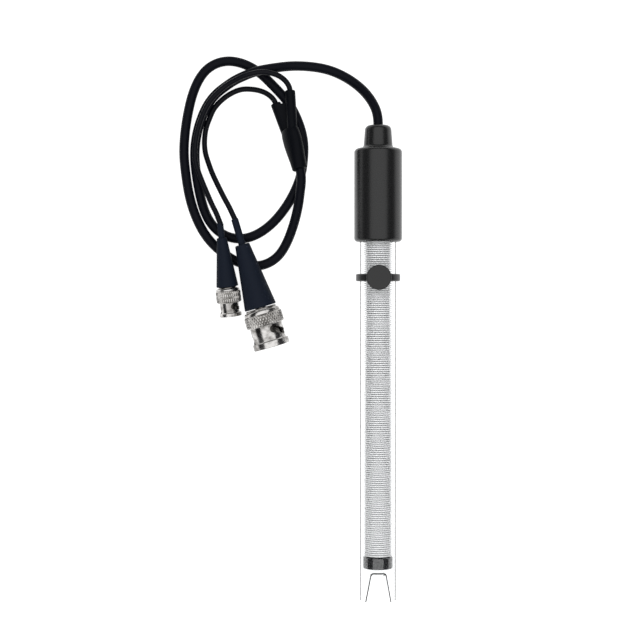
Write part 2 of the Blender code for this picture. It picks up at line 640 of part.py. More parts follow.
def measuring_wire(frame):
    """Silver wire down the stem to just above the seal ring, thicker where it is coated."""
    coated = CORE_BOTTOM + SILVER_TIP_LENGTH
    tip = SILVER_TIP_DIAMETER / 2
    bare = WIRE_DIAMETER / 2
    profile = [(0, CORE_BOTTOM), (tip, CORE_BOTTOM), (tip, coated), (bare, coated)]
    profile += [(bare, WIRE_TOP), (0, WIRE_TOP)]
    wire = turned("measuring_wire", profile, "silver_wire", frame, WIRE_SEGMENTS)
    wire.location = (MEASURING_WIRE_X, 0, 0)


def reference_wire(frame):
    """Silver wire in the annular space between the stem and the ribbed sleeve."""
    profile = rod_profile(WIRE_DIAMETER / 2, SEAL_TOP + FIT, WIRE_TOP)
    wire = turned("reference_wire", profile, "silver_wire", frame, WIRE_SEGMENTS)
    wire.location = (0, REFERENCE_WIRE_Y, 0)


def temperature_sensor(frame):
    """Thin glass-sheathed thermistor beside the measuring wire, read through the second plug."""
    radius = SENSOR_DIAMETER / 2
    profile = [(0, CORE_BOTTOM), *arc(0, CORE_BOTTOM + radius, radius, -90, 0)[1:]]
    profile += [(radius, WIRE_TOP), (0, WIRE_TOP)]
    sensor = turned("temperature_sensor", profile, "ceramic", frame, WIRE_SEGMENTS)
    sensor.location = (SENSOR_X, 0, 0)


def smooth_line(route, step):
    """Points along a natural cubic spline through a route's own points.

    They are evenly spaced between its second point and its last but one. The stretch before
    and the stretch after stay straight, because the cable runs in a channel or sleeve there.
    """
    knots = np.array(route) * MM
    gaps = np.linalg.norm(np.diff(knots, axis=0), axis=1)
    stations = np.concatenate(([0.0], np.cumsum(gaps)))
    count = len(knots)
    system = np.eye(count)
    target = np.zeros((count, 3))
    for i in range(1, count - 1):
        before, after = gaps[i - 1], gaps[i]
        system[i, i - 1 : i + 2] = before, 2 * (before + after), after
        target[i] = 6 * ((knots[i + 1] - knots[i]) / after - (knots[i] - knots[i - 1]) / before)
    bend = np.linalg.solve(system, target)
    free = stations[-2] - stations[1]
    evenly = np.linspace(stations[1], stations[-2], int(round(free / step)) + 1)
    points = []
    for s in (0.0, *evenly, stations[-1]):
        i = min(int(np.searchsorted(stations, s, side="right")) - 1, count - 2)
        gap = gaps[i]
        a = (stations[i + 1] - s) / gap
        b = 1.0 - a
        curve = ((a**3 - a) * bend[i] + (b**3 - b) * bend[i + 1]) * gap**2 / 6
        points.append(a * knots[i] + b * knots[i + 1] + curve)
    return points


def cable(name, route, diameter, step):
    """A round cable as a curve along its route, with flat ends."""
    curve = bpy.data.curves.new(name, "CURVE")
    curve.dimensions = "3D"
    curve.bevel_depth = diameter / 2
    curve.bevel_resolution = CABLE_BEVEL_STEPS
    curve.use_fill_caps = True
    curve.materials.append(material("cable_jacket"))
    points = smooth_line(route, step * diameter)
    spline = curve.splines.new("POLY")
    spline.points.add(len(points) - 1)
    for place, point in zip(spline.points, points):
        place.co = (*point, 1.0)
    made = bpy.data.objects.new(name, curve)
    bpy.context.collection.objects.link(made)


def splitter_sleeve():
    """Shrunk sleeve, round on the cable and wide over the two branches, one above the other."""
    axis = SPLITTER_BRANCH_END - SPLITTER_CABLE_END
    length = axis.length
    upward = SMALL_BRANCH_ROOT - LARGE_BRANCH_ROOT
    frame = add_frame("splitter_frame", along(SPLITTER_CABLE_END, axis, upward))
    start = SPLITTER_ROUND_DIAMETER / 2
    lip = SPLITTER_LIP_RADIUS
    between = length - 2 * lip
    stations = arc(-lip, lip, lip, -90, 0, EDGE_STEPS)
    stations += [(0, lip + between * i / SPLITTER_STEPS) for i in range(1, SPLITTER_STEPS)]
    stations += arc(-lip, length - lip, lip, 0, 90, EDGE_STEPS)
    sections = []
    for inset, z in stations:
        share = min(1.0, z / SPLITTER_TAPER)
        ease = share * share * (3 - 2 * share)
        half_wide = start + (SPLITTER_WIDE / 2 - start) * ease + inset
        half_thick = start + (SPLITTER_THICK / 2 - start) * ease + inset
        angles = [2 * pi * i / FINE_SEGMENTS for i in range(FINE_SEGMENTS)]
        sections.append([(half_thick * cos(a), half_wide * sin(a), z) for a in angles])
    sleeve = add_object("splitter_sleeve", skinned(sections), "cable_jacket", frame)
    recess = rod_profile(CABLE_DIAMETER / 2 + FIT, -CUT_MARGIN, SPLITTER_RECESS)
    cut(sleeve, "cable_recess_cutter", spun(recess))
    to_local = frame.matrix_world.inverted()
    for name, root, tip in (
        ("large_branch_cutter", LARGE_BRANCH_ROOT, LARGE_BRANCH_TIP),
        ("small_branch_cutter", SMALL_BRANCH_ROOT, SMALL_BRANCH_TIP),
    ):
        pocket = rod_profile(BRANCH_SLEEVE_ROOT / 2 + FIT, -BRANCH_SLEEVE_INSERTION - FIT, SPLITTER_WIDE)
        place = to_local @ along(root, tip - root, Vector((0, 0, 1)))
        cut(sleeve, name, spun(pocket, FINE_SEGMENTS), place)


def branch_sleeve(name, root, tip):
    """Slim shrunk sleeve from the splitter to a thin cable, which ends in a pocket in its tip."""
    axis = tip - root
    frame = add_frame(name + "_frame", along(root, axis, Vector((0, 0, 1))))
    edge = BRANCH_SLEEVE_EDGE_RADIUS
    root_radius = BRANCH_SLEEVE_ROOT / 2
    pocket = BRANCH_DIAMETER / 2 + FIT
    length = axis.length
    floor = length - BRANCH_SLEEVE_RECESS
    bottom = -BRANCH_SLEEVE_INSERTION
    profile = [(0, bottom), (root_radius, bottom), (root_radius, BRANCH_SLEEVE_INSERTION)]
    profile += arc(BRANCH_SLEEVE_TIP / 2 - edge, length - edge, edge, 0, 90, EDGE_STEPS)
    profile += [(pocket, length), (pocket, floor), (0, floor)]
    turned(name, profile, "cable_jacket", frame, FINE_SEGMENTS)


def plug_boot(name, size, frame):
    """Tapered rubber boot, hollow over the crimp and close round the neck."""
    wide = size.boot_base_diameter / 2
    narrow = size.boot_tip_diameter / 2
    bore = size.boot_bore / 2
    neck = size.neck_diameter / 2 + size.fit
    edge = size.boot_edge
    far = -size.boot_length
    floor = -size.boot_bore_depth
    profile = [(bore, 0), (wide - edge, 0), (wide, -edge), (narrow, far + edge)]
    profile += [(narrow - edge, far), (neck, far), (neck, floor), (bore, floor)]
    turned(name + "_boot", profile, "boot_rubber", frame)


def plug_neck(name, size, frame):
    """End of the thin cable in its shrunk sleeve, from the crimp out through the boot's tip."""
    top = -size.tail_length - size.fit
    bottom = -size.boot_length - size.neck_length
    profile = rod_profile(size.neck_diameter / 2, bottom, top)
    turned(name + "_neck", profile, "boot_rubber", frame, FINE_SEGMENTS)


def plug_ferrule(name, size, frame):
    """Ring crimped over the braid on the body's tail."""
    bore = size.tail_diameter / 2 + size.fit
    profile = ring_profile(bore, bore + size.ferrule_wall, -size.ferrule_length, 0)
    turned(name + "_ferrule", profile, "nickel", frame, FINE_SEGMENTS)


def collar_top(size):
    """Height of the body's collar, which the coupling runs against."""
    return size.fit + size.collar_length


def shoulder_top(size):
    """Height of the coupling's inner shoulder, which the wavy washer presses on."""
    return collar_top(size) + size.fit + size.shoulder


def snap_ring_seat(size):
    """Height of the snap ring's lower face, over the crests of the wavy washer."""
    washer_top = shoulder_top(size) + size.fit + 2 * size.washer_wave + size.washer_thickness
    return washer_top + size.fit


def plug_body(name, size, frame):
    """Turned body: hollow tail for the crimp, collar under the coupling, inner contact sleeve."""
    tail = size.tail_diameter / 2
    tail_bore = size.tail_bore / 2
    tail_end = -size.tail_length
    collar = size.collar_diameter / 2
    above_collar = collar_top(size)
    sleeve = size.inner_diameter / 2
    bore = size.inner_bore / 2
    floor = size.fit + size.web
    groove = sleeve - size.snap_ring_grip
    groove_bottom = snap_ring_seat(size) - size.groove_fit
    groove_top = snap_ring_seat(size) + size.snap_ring_thickness + size.groove_fit
    profile = [(tail_bore, tail_end), (tail, tail_end), (tail, size.fit), (collar, size.fit)]
    profile += [(collar, above_collar), (sleeve, above_collar), (sleeve, groove_bottom)]
    profile += [(groove, groove_bottom), (groove, groove_top), (sleeve, groove_top)]
    profile += [(sleeve, size.inner_end), (bore, size.inner_end), (bore, floor), (tail_bore, floor)]
    turned(name + "_body", profile, "nickel", frame, FINE_SEGMENTS)


def plug_insulator(name, size, frame):
    """White insulator in the body's bore, stepped down to a nose round the pin."""
    bore = size.pin_diameter / 2 + size.fit
    outer = size.inner_bore / 2 - size.fit
    nose = size.insulator_nose_diameter / 2
    bottom = 2 * size.fit + size.web
    profile = [(bore, bottom), (outer, bottom), (outer, size.insulator_end), (nose, size.insulator_end)]
    profile += [(nose, size.insulator_nose_end), (bore, size.insulator_nose_end)]
    turned(name + "_insulator", profile, "white_ptfe", frame, FINE_SEGMENTS)


def plug_pin(name, size, frame):
    """Gilt centre pin with a rounded tip, crimped on the core inside the body's tail."""
    radius = size.pin_diameter / 2
    tail = size.pin_tail_diameter / 2
    tail_end = -size.pin_tail_length
    profile = [(0, tail_end), (tail, tail_end), (tail, size.web), (radius, size.web)]
    profile += [*arc(0, size.pin_end - radius, radius, 0, 90)[:-1], (0, size.pin_end)]
    turned(name + "_pin", profile, "gilt", frame, WIRE_SEGMENTS)


def plug_coupling(name, size, frame):
    """Coupling that turns on the body: knurled grip, barrel with bayonet ramps, mouth flange."""
    bottom = collar_top(size) + size.fit
    grip = size.knurl_diameter / 2
    edge = size.edge
    barrel = size.barrel_diameter / 2
    flange = size.flange_diameter / 2
    bore = size.barrel_bore / 2
    shoulder_bore = size.inner_diameter / 2 + size.fit
    profile = [(shoulder_bore, bottom), (grip - edge, bottom), (grip, bottom + edge)]
    profile += [(grip, size.knurl_end - edge), (grip - edge, size.knurl_end)]
    profile += [(barrel, size.knurl_end), (barrel, size.flange_start), (flange, size.flange_start)]
    profile += [(flange, size.nose - edge), (flange - edge, size.nose), (bore, size.nose)]
    profile += [(bore, shoulder_top(size)), (shoulder_bore, shoulder_top(size))]
    bm = spun(profile, 2 * size.knurl_teeth)
    for vert in bm.verts:
        reach = vert.co.xy.length
        turn = atan2(vert.co.y, vert.co.x) / (pi / size.knurl_teeth)
        if reach > grip - edge - WELD and vert.co.z < size.knurl_end + WELD and round(turn) % 2:
            vert.co.xy *= (reach - size.knurl_depth) / reach
    coupling = add_object(name + "_coupling", bm, "nickel", frame)
    for lug in range(BAYONET_LUGS):
        cut_bayonet_slot(coupling, f"{name}_slot_{lug}", size, lug * 360 / BAYONET_LUGS)


def cut_bayonet_slot(coupling, name, size, turn):
    """One lug's way: an entry groove at the mouth, a ramp round the barrel, a round detent."""
    barrel = size.barrel_diameter / 2
    inside = size.barrel_bore / 2 - CUT_MARGIN
    through = barrel + CUT_MARGIN
    blind = size.flange_diameter / 2 - size.entry_wall
    half = size.slot_width / 2
    entry_height = size.flange_start - half
    detent = spun(rod_profile(size.detent_diameter / 2, inside, through), WIRE_SEGMENTS)
    outwards = Matrix.Rotation(radians(DETENT_ANGLE + turn), 4, "Z") @ Matrix.Rotation(pi / 2, 4, "Y")
    cut(coupling, name + "_detent", detent, Matrix.Translation((0, 0, size.detent_height)) @ outwards)
    ramp = []
    for i in range(RAMP_STEPS + 1):
        share = i / RAMP_STEPS
        angle = radians(DETENT_ANGLE + turn + RAMP_TURN * share)
        height = size.detent_height + (entry_height - size.detent_height) * share
        corners = ((inside, -half), (through, -half), (through, half), (inside, half))
        ramp.append([(r * cos(angle), r * sin(angle), height + z) for r, z in corners])
    cut(coupling, name + "_ramp", skinned(ramp))
    outline = ((inside, -half), (blind, -half), (blind, half), (inside, half))
    heights = (entry_height, size.nose + CUT_MARGIN)
    entry = skinned([[(x, y, z) for x, y in outline] for z in heights])
    entry_angle = radians(DETENT_ANGLE + RAMP_TURN + turn)
    cut(coupling, name + "_entry", entry, Matrix.Rotation(entry_angle, 4, "Z"))


def plug_washer(name, size, frame):
    """Wavy spring washer on the coupling's inner shoulder."""
    bore = size.inner_diameter / 2 + size.fit
    outer = size.barrel_bore / 2 - size.fit
    rest = shoulder_top(size) + size.fit + size.washer_wave
    bm = spun(ring_profile(bore, outer, rest, rest + size.washer_thickness), FINE_SEGMENTS)
    for vert in bm.verts:
        vert.co.z += size.washer_wave * sin(WASHER_WAVES * atan2(vert.co.y, vert.co.x))
    add_object(name + "_washer", bm, "spring_steel", frame)


def plug_snap_ring(name, size, frame):
    """Split ring in the body's groove, which keeps the coupling on."""
    inner = size.inner_diameter / 2 - size.snap_ring_grip + size.groove_fit
    outer = size.inner_diameter / 2 + size.fit + size.snap_ring_overlap
    low = snap_ring_seat(size)
    high = low + size.snap_ring_thickness
    opening = radians(SNAP_RING_OPENING)
    sections = []
    for i in range(FINE_SEGMENTS):
        angle = opening / 2 + (2 * pi - opening) * i / (FINE_SEGMENTS - 1)
        corners = ((inner, low), (outer, low), (outer, high), (inner, high))
        sections.append([(r * cos(angle), r * sin(angle), z) for r, z in corners])
    add_object(name + "_snap_ring", skinned(sections), "spring_steel", frame)


def plug_gasket(name, size, frame):
    """Silicone gasket at the bottom of the annular mouth, on the snap ring."""
    bore = size.inner_diameter / 2 + size.fit
    outer = size.barrel_bore / 2 - size.fit
    bottom = snap_ring_seat(size) + size.snap_ring_thickness + size.fit
    profile = ring_profile(bore, outer, bottom, bottom + size.gasket_height)
    turned(name + "_gasket", profile, "silicone", frame, FINE_SEGMENTS)


def bayonet_plug(name, size):
    """One plug, lying nose down on its coupling's flange, with its boot over the cable."""
    heading = radians(size.heading)
    dip = radians(size.nose_down)
    forward = Vector((sin(heading) * cos(dip), -cos(heading) * cos(dip), -sin(dip)))
    frame = add_frame(name + "_frame", along(size.origin, forward, Vector((0, 0, 1))))
    plug_boot(name, size, frame)
    plug_neck(name, size, frame)
    plug_ferrule(name, size, frame)
    plug_body(name, size, frame)
    plug_insulator(name, size, frame)
    plug_pin(name, size, frame)
    plug_coupling(name, size, frame)
    plug_washer(name, size, frame)
    plug_snap_ring(name, size, frame)
    plug_gasket(name, size, frame)


def clear_scene():
    """Removes whatever the file held before."""
    for old in list(bpy.data.objects):
        bpy.data.objects.remove(old, do_unlink=True)


def main():
    """The electrode in its lying frame, then the cables and plugs where they lie."""
    clear_scene()
    frame = electrode_frame()
    outer_tube(frame)
    cap(frame)
    fill_band(frame)
    glass_stem(frame)
    seal_ring(frame)
    ceramic_junction(frame)
    ribbed_sleeve(frame)
    top_seal(frame)
    stem_bung(frame)
    cap_potting(frame)
    measuring_wire(frame)
    reference_wire(frame)
    temperature_sensor(frame)
    cable("main_cable", CABLE_ROUTE, CABLE_DIAMETER, CABLE_STEP)
    cable("large_branch_cable", LARGE_BRANCH_ROUTE, BRANCH_DIAMETER, BRANCH_STEP)
    cable("small_branch_cable", SMALL_BRANCH_ROUTE, BRANCH_DIAMETER, BRANCH_STEP)
    splitter_sleeve()
    branch_sleeve("large_branch_sleeve", LARGE_BRANCH_ROOT, LARGE_BRANCH_TIP)
    branch_sleeve("small_branch_sleeve", SMALL_BRANCH_ROOT, SMALL_BRANCH_TIP)
    bayonet_plug("large_plug", LARGE_PLUG)
    bayonet_plug("small_plug", SMALL_PLUG)


main()
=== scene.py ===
"""Laboratory electrode lying on a white bench with its cable and two bayonet plugs.

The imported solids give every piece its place. Sizes are in millimetres unless said otherwise.
"""
import math

import bmesh
import bpy
import numpy as np
from mathutils import Matrix, Vector


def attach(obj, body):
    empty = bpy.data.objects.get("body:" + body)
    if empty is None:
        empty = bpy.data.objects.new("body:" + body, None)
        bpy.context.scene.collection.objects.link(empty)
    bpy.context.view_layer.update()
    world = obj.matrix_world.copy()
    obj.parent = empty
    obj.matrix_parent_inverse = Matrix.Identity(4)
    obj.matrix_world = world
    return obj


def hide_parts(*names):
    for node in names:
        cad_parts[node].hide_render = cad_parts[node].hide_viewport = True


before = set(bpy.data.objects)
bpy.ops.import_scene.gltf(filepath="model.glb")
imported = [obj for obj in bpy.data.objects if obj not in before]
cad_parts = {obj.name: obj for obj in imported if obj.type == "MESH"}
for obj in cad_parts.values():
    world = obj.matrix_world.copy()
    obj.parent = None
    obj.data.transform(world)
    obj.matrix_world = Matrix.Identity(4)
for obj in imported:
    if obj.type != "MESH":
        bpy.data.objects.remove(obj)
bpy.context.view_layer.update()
shown = bpy.context.scene
shown.view_settings.view_transform = "Standard"

# Bench, camera and light.
# The electrode lies on a white board under one broad soft lamp, with white walls low around it
# and a dark room above them, so black mouldings and plated metal show long clean reflections.


def blank_finish(name):
    """A node material with nothing in it but its output."""
    made = bpy.data.materials.new(name)
    made.use_nodes = True
    tree = made.node_tree
    tree.nodes.clear()
    return made, tree, tree.nodes.new("ShaderNodeOutputMaterial")


def direct_view(tree):
    """A value of 1 for rays that show the background: straight on, mirrored or through glass."""
    rays = tree.nodes.new("ShaderNodeLightPath")
    seen = rays.outputs["Is Camera Ray"]
    for kind in ("Is Glossy Ray", "Is Transmission Ray"):
        either = tree.nodes.new("ShaderNodeMath")
        either.operation = "MAXIMUM"
        tree.links.new(seen, either.inputs[0])
        tree.links.new(rays.outputs[kind], either.inputs[1])
        seen = either.outputs[0]
    return rays, seen


board_half = 0.8
board_glow = 0.90
board_grey = 0.35
corners = [(x * board_half, y * board_half, 0) for x, y in ((-1, -1), (1, -1), (1, 1), (-1, 1))]
bench_mesh = bpy.data.meshes.new("bench")
bench_mesh.from_pydata(corners, [], [(0, 1, 2, 3)])
bench = bpy.data.objects.new("bench", bench_mesh)
shown.collection.objects.link(bench)
white_board, tree, output = blank_finish("white_board")
rays, seen = direct_view(tree)
glow = tree.nodes.new("ShaderNodeEmission")
glow_level = tree.nodes.new("ShaderNodeMath")
glow_level.operation = "MULTIPLY"
glow_level.inputs[1].default_value = board_glow
tree.links.new(seen, glow_level.inputs[0])
tree.links.new(glow_level.outputs[0], glow.inputs["Strength"])
paper = tree.nodes.new("ShaderNodeBsdfDiffuse")
paper.inputs["Color"].default_value = (board_grey, board_grey, board_grey, 1)
both = tree.nodes.new("ShaderNodeAddShader")
tree.links.new(glow.outputs[0], both.inputs[0])
tree.links.new(paper.outputs[0], both.inputs[1])
tree.links.new(both.outputs[0], output.inputs["Surface"])
bench_mesh.materials.append(white_board)

wall_white_up_to = 0.02
room_dark_from = 0.16
fill_strength = 0.65
room = bpy.data.worlds.new("studio_room")
shown.world = room
room.use_nodes = True
tree = room.node_tree
tree.nodes.clear()
output = tree.nodes.new("ShaderNodeOutputWorld")
rays, seen = direct_view(tree)
direction = tree.nodes.new("ShaderNodeTexCoord")
height = tree.nodes.new("ShaderNodeSeparateXYZ")
tree.links.new(direction.outputs["Generated"], height.inputs[0])
walls = tree.nodes.new("ShaderNodeValToRGB")
walls.color_ramp.elements[0].position = wall_white_up_to
walls.color_ramp.elements[0].color = (0.95, 0.95, 0.95, 1)
walls.color_ramp.elements[1].position = room_dark_from
walls.color_ramp.elements[1].color = (0.02, 0.02, 0.022, 1)
tree.links.new(height.outputs["Z"], walls.inputs["Fac"])
mirrored = tree.nodes.new("ShaderNodeBackground")
tree.links.new(walls.outputs["Color"], mirrored.inputs["Color"])
open_white = tree.nodes.new("ShaderNodeBackground")
open_white.inputs["Color"].default_value = (1, 1, 1, 1)
fill_light = tree.nodes.new("ShaderNodeBackground")
fill_light.inputs["Color"].default_value = (0.96, 0.98, 1.0, 1)
fill_light.inputs["Strength"].default_value = fill_strength
glossy_or_white = tree.nodes.new("ShaderNodeMixShader")
tree.links.new(rays.outputs["Is Glossy Ray"], glossy_or_white.inputs["Fac"])
tree.links.new(open_white.outputs[0], glossy_or_white.inputs[1])
tree.links.new(mirrored.outputs[0], glossy_or_white.inputs[2])
seen_or_fill = tree.nodes.new("ShaderNodeMixShader")
tree.links.new(seen, seen_or_fill.inputs["Fac"])
tree.links.new(fill_light.outputs[0], seen_or_fill.inputs[1])
tree.links.new(glossy_or_white.outputs[0], seen_or_fill.inputs[2])
tree.links.new(seen_or_fill.outputs[0], output.inputs["Surface"])

softbox_data = bpy.data.lights.new("overhead_softbox", "AREA")
softbox_data.shape = "RECTANGLE"
softbox_data.size = 1.50
softbox_data.size_y = 2.20
softbox_data.energy = 12.5
softbox = bpy.data.objects.new("overhead_softbox", softbox_data)
softbox.location = (0.0, 0.0, 0.85)
shown.collection.objects.link(softbox)

camera_data = bpy.data.cameras.new("camera")
camera_data.sensor_width = 36.0
camera_data.lens = 80.0
camera = bpy.data.objects.new("camera", camera_data)
camera.location = (-0.01948, 0.0145, 0.485)
shown.collection.objects.link(camera)
shown.camera = camera

# Glass stem and pH bulb.
# A thin clear tube is blown out at its lower end into the round, very thin sensing bulb.
# Its upper end stands a little above the body tube, inside the cap, with a bung in it.

MM = 0.001
tube_radius = 6.0
cap_radius = 8.0
shaft_length = 120.4
cap_rim_round = 1.2
tube_top = 130.4
rest_tilt = math.atan2(cap_radius - tube_radius, shaft_length + cap_rim_round)
tip_place = Matrix.Translation((0, -0.079663, 0.005999))
electrode_lies = tip_place @ Matrix.Rotation(rest_tilt - math.pi / 2, 4, "X")
edge_angle = 32.0


def corner(centre_r, centre_z, radius, start, end, steps):
    """Points round a corner of an outline, from one angle in degrees to another."""
    turns = [math.radians(start + (end - start) * i / steps) for i in range(steps + 1)]
    return [(centre_r + radius * math.cos(a), centre_z + radius * math.sin(a)) for a in turns]


def finished_object(name, mesh, sharp=edge_angle):
    """An object whose faces point outwards, shaded smooth up to an edge of that many degrees."""
    bm = bmesh.new()
    bm.from_mesh(mesh)
    bmesh.ops.recalc_face_normals(bm, faces=bm.faces)
    if bm.calc_volume(signed=True) < 0:
        bmesh.ops.reverse_faces(bm, faces=bm.faces)
    bm.to_mesh(mesh)
    bm.free()
    mesh.shade_smooth()
    mesh.set_sharp_from_angle(angle=math.radians(sharp))
    made = bpy.data.objects.new(name, mesh)
    shown.collection.objects.link(made)
    return made


def turned(name, outline, sides, sharp=edge_angle):
    """A piece turned about its own Z from (radius, height) points, on the axis or off it."""
    places = []
    rings = []
    for radius, height in outline:
        reach = radius * MM
        if radius < 1e-6:
            rings.append([len(places)])
            places.append((0, 0, height * MM))
            continue
        rings.append(list(range(len(places), len(places) + sides)))
        for k in range(sides):
            angle = 2 * math.pi * k / sides
            places.append((reach * math.cos(angle), reach * math.sin(angle), height * MM))
    pairs = list(zip(rings, rings[1:]))
    if len(rings[0]) > 1 and len(rings[-1]) > 1:
        pairs.append((rings[-1], rings[0]))
    faces = []
    for low, high in pairs:
        for k in range(sides):
            n = (k + 1) % sides
            if len(low) == 1:
                faces.append((low[0], high[n], high[k]))
            elif len(high) == 1:
                faces.append((low[k], low[n], high[0]))
            else:
                faces.append((low[k], low[n], high[n], high[k]))
    mesh = bpy.data.meshes.new(name)
    mesh.from_pydata(places, [], faces)
    return finished_object(name, mesh, sharp)


def clear_finish(name, colour, bend, roughness):
    """Glass or clear polymer. Lamps reach through it, as they do through a thin clear wall."""
    made, tree, output = blank_finish(name)
    glass = tree.nodes.new("ShaderNodeBsdfPrincipled")
    glass.inputs["Base Color"].default_value = (*colour, 1)
    glass.inputs["Roughness"].default_value = roughness
    glass.inputs["IOR"].default_value = bend
    glass.inputs["Transmission Weight"].default_value = 1.0
    through = tree.nodes.new("ShaderNodeBsdfTransparent")
    through.inputs["Color"].default_value = (*colour, 1)
    rays = tree.nodes.new("ShaderNodeLightPath")
    choice = tree.nodes.new("ShaderNodeMixShader")
    tree.links.new(rays.outputs["Is Shadow Ray"], choice.inputs["Fac"])
    tree.links.new(glass.outputs[0], choice.inputs[1])
    tree.links.new(through.outputs[0], choice.inputs[2])
    tree.links.new(choice.outputs[0], output.inputs["Surface"])
    return made


stem_radius = 2.5
stem_bore = 2.0
bulb_radius = 3.9
bulb_wall = 0.4
bulb_centre = 5.2
stem_top = 134.0
neck_above_bulb = 0.3
outer_join = math.degrees(math.acos(stem_radius / bulb_radius))
inner_join = math.degrees(math.acos(stem_bore / (bulb_radius - bulb_wall)))
outline = corner(0, bulb_centre, bulb_radius, -90, outer_join, 28)
outline.append((stem_radius, bulb_centre + bulb_radius + neck_above_bulb))
outline += [(stem_radius, stem_top), (stem_bore, stem_top)]
outline += corner(0, bulb_centre, bulb_radius - bulb_wall, inner_join, -90, 28)
stem = turned("stem_and_bulb", outline, 72)
stem.matrix_world = electrode_lies
stem.data.materials.append(clear_finish("stem_clear_glass", (0.985, 0.992, 0.992), 1.10, 0.0))
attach(stem, "electrode")
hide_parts("glass_stem")

# Seal ring and junction.
# A ring of polished black rubber holds the stem near the tip and closes the reference chamber.
# A porous ceramic pin runs through it, and lets the reference solution meet the sample.


def solid_finish(name, colour, roughness, metal=0.0):
    """A material of one Principled shader, given back with its tree and that shader."""
    made, tree, output = blank_finish(name)
    shader = tree.nodes.new("ShaderNodeBsdfPrincipled")
    shader.inputs["Base Color"].default_value = (*colour, 1)
    shader.inputs["Roughness"].default_value = roughness
    shader.inputs["Metallic"].default_value = metal
    tree.links.new(shader.outputs[0], output.inputs["Surface"])
    return made, tree, shader


def dress(node, finish):
    """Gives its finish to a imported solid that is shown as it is."""
    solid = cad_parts[node]
    solid.data.materials.clear()
    solid.data.materials.append(finish)
    return solid


def spread(tree, value, low, high, to_low=0.0, to_high=1.0):
    """A value stretched from one range over another, and held at the ends."""
    made = tree.nodes.new("ShaderNodeMapRange")
    made.inputs["From Min"].default_value = low
    made.inputs["From Max"].default_value = high
    made.inputs["To Min"].default_value = to_low
    made.inputs["To Max"].default_value = to_high
    tree.links.new(value, made.inputs["Value"])
    return made.outputs["Result"]


def grain(tree, shader, per_metre, rise, roughness_low, roughness_high, stretch=(1, 1, 1)):
    """Fine unevenness of a moulded or turned surface, in its relief and its gloss."""
    where = tree.nodes.new("ShaderNodeTexCoord")
    scaled = tree.nodes.new("ShaderNodeMapping")
    scaled.inputs["Scale"].default_value = stretch
    noise = tree.nodes.new("ShaderNodeTexNoise")
    noise.inputs["Scale"].default_value = per_metre
    noise.inputs["Detail"].default_value = 4.0
    relief = tree.nodes.new("ShaderNodeBump")
    relief.inputs["Distance"].default_value = rise * MM
    gloss = spread(tree, noise.outputs["Fac"], 0.30, 0.70, roughness_low, roughness_high)
    tree.links.new(where.outputs["Object"], scaled.inputs["Vector"])
    tree.links.new(scaled.outputs["Vector"], noise.inputs["Vector"])
    tree.links.new(noise.outputs["Fac"], relief.inputs["Height"])
    tree.links.new(relief.outputs["Normal"], shader.inputs["Normal"])
    tree.links.new(gloss, shader.inputs["Roughness"])
    return noise


def mottled(tree, shader, noise, colour, other):
    """Lets a surface's colour wander between two tones with its noise."""
    tones = tree.nodes.new("ShaderNodeMix")
    tones.data_type = "RGBA"
    tones.inputs["A"].default_value = (*colour, 1)
    tones.inputs["B"].default_value = (*other, 1)
    tree.links.new(noise.outputs["Fac"], tones.inputs["Factor"])
    tree.links.new(tones.outputs["Result"], shader.inputs["Base Color"])
    return tones


seal_bottom = 10.85
seal_top = 14.65
seal_outer = 5.0
seal_bore = 2.8
seal_round = 0.22
rim = seal_outer - seal_round
low = corner(rim, seal_bottom + seal_round, seal_round, -90, 0, 4)
high = corner(rim, seal_top - seal_round, seal_round, 0, 90, 4)
outline = [(seal_bore, seal_bottom), *low, *high, (seal_bore, seal_top)]
seal = turned("polished_seal_ring", outline, 128)
seal.matrix_world = electrode_lies
polished_black, tree, shader = solid_finish("seal_polished_black", (0.016, 0.016, 0.017), 0.04)
shader.inputs["IOR"].default_value = 1.95
grain(tree, shader, 2500, 0.00005, 0.02, 0.05)
seal.data.materials.append(polished_black)
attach(seal, "electrode")
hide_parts("seal_ring")

junction_white, tree, shader = solid_finish("junction_ceramic", (0.86, 0.84, 0.80), 0.75)
grain(tree, shader, 6000, 0.010, 0.65, 0.90)
dress("ceramic_junction", junction_white)

# Ribbed reference sleeve.
# A milky sleeve of thin moulded polymer stands round the stem, with a fine rib every 0.69 mm.
# The ribs hold the thick reference solution, and their grooves show as thin grey lines: the colour
# is painted darker from the rib tips down to the groove floor, as painted shade.
# Where the ribs turn away at the sides, light comes through their thin tips.

sleeve_bottom = 14.95
sleeve_top = 122.0
sleeve_bore = 3.45
rib_root = 3.85
rib_tip = 4.825
rib_pitch = 0.69
rib_shoulder = rib_tip - 0.08
groove_painted_shade = (0.44, 0.44, 0.444, 1)
tip_colour = (0.97, 0.97, 0.97, 1)
painted_shade_up_to = (rib_root + 0.10) * MM
white_from = (rib_tip - 0.25) * MM
one_rib = [
    (rib_root, 0.11), (rib_shoulder, 0.14), (rib_tip, 0.20),
    (rib_tip, 0.49), (rib_shoulder, 0.55), (rib_root, 0.58),
]
outline = [(sleeve_bore, sleeve_bottom), (rib_root, sleeve_bottom)]
for rib in range(int((sleeve_top - sleeve_bottom) / rib_pitch)):
    foot = sleeve_bottom + rib * rib_pitch
    outline += [(radius, foot + rise) for radius, rise in one_rib]
outline += [(rib_root, sleeve_top), (sleeve_bore, sleeve_top)]
sleeve = turned("ribbed_sleeve_fine", outline, 56, 60.0)
sleeve.matrix_world = electrode_lies
milky, tree, shader = solid_finish("sleeve_milky_polymer", (0.86, 0.87, 0.88), 0.14)
grain(tree, shader, 900, 0.001, 0.10, 0.20)
where = tree.nodes.new("ShaderNodeTexCoord")
flat = tree.nodes.new("ShaderNodeVectorMath")
flat.operation = "MULTIPLY"
flat.inputs[1].default_value = (1, 1, 0)
from_axis = tree.nodes.new("ShaderNodeVectorMath")
from_axis.operation = "LENGTH"
tree.links.new(where.outputs["Object"], flat.inputs[0])
tree.links.new(flat.outputs["Vector"], from_axis.inputs[0])
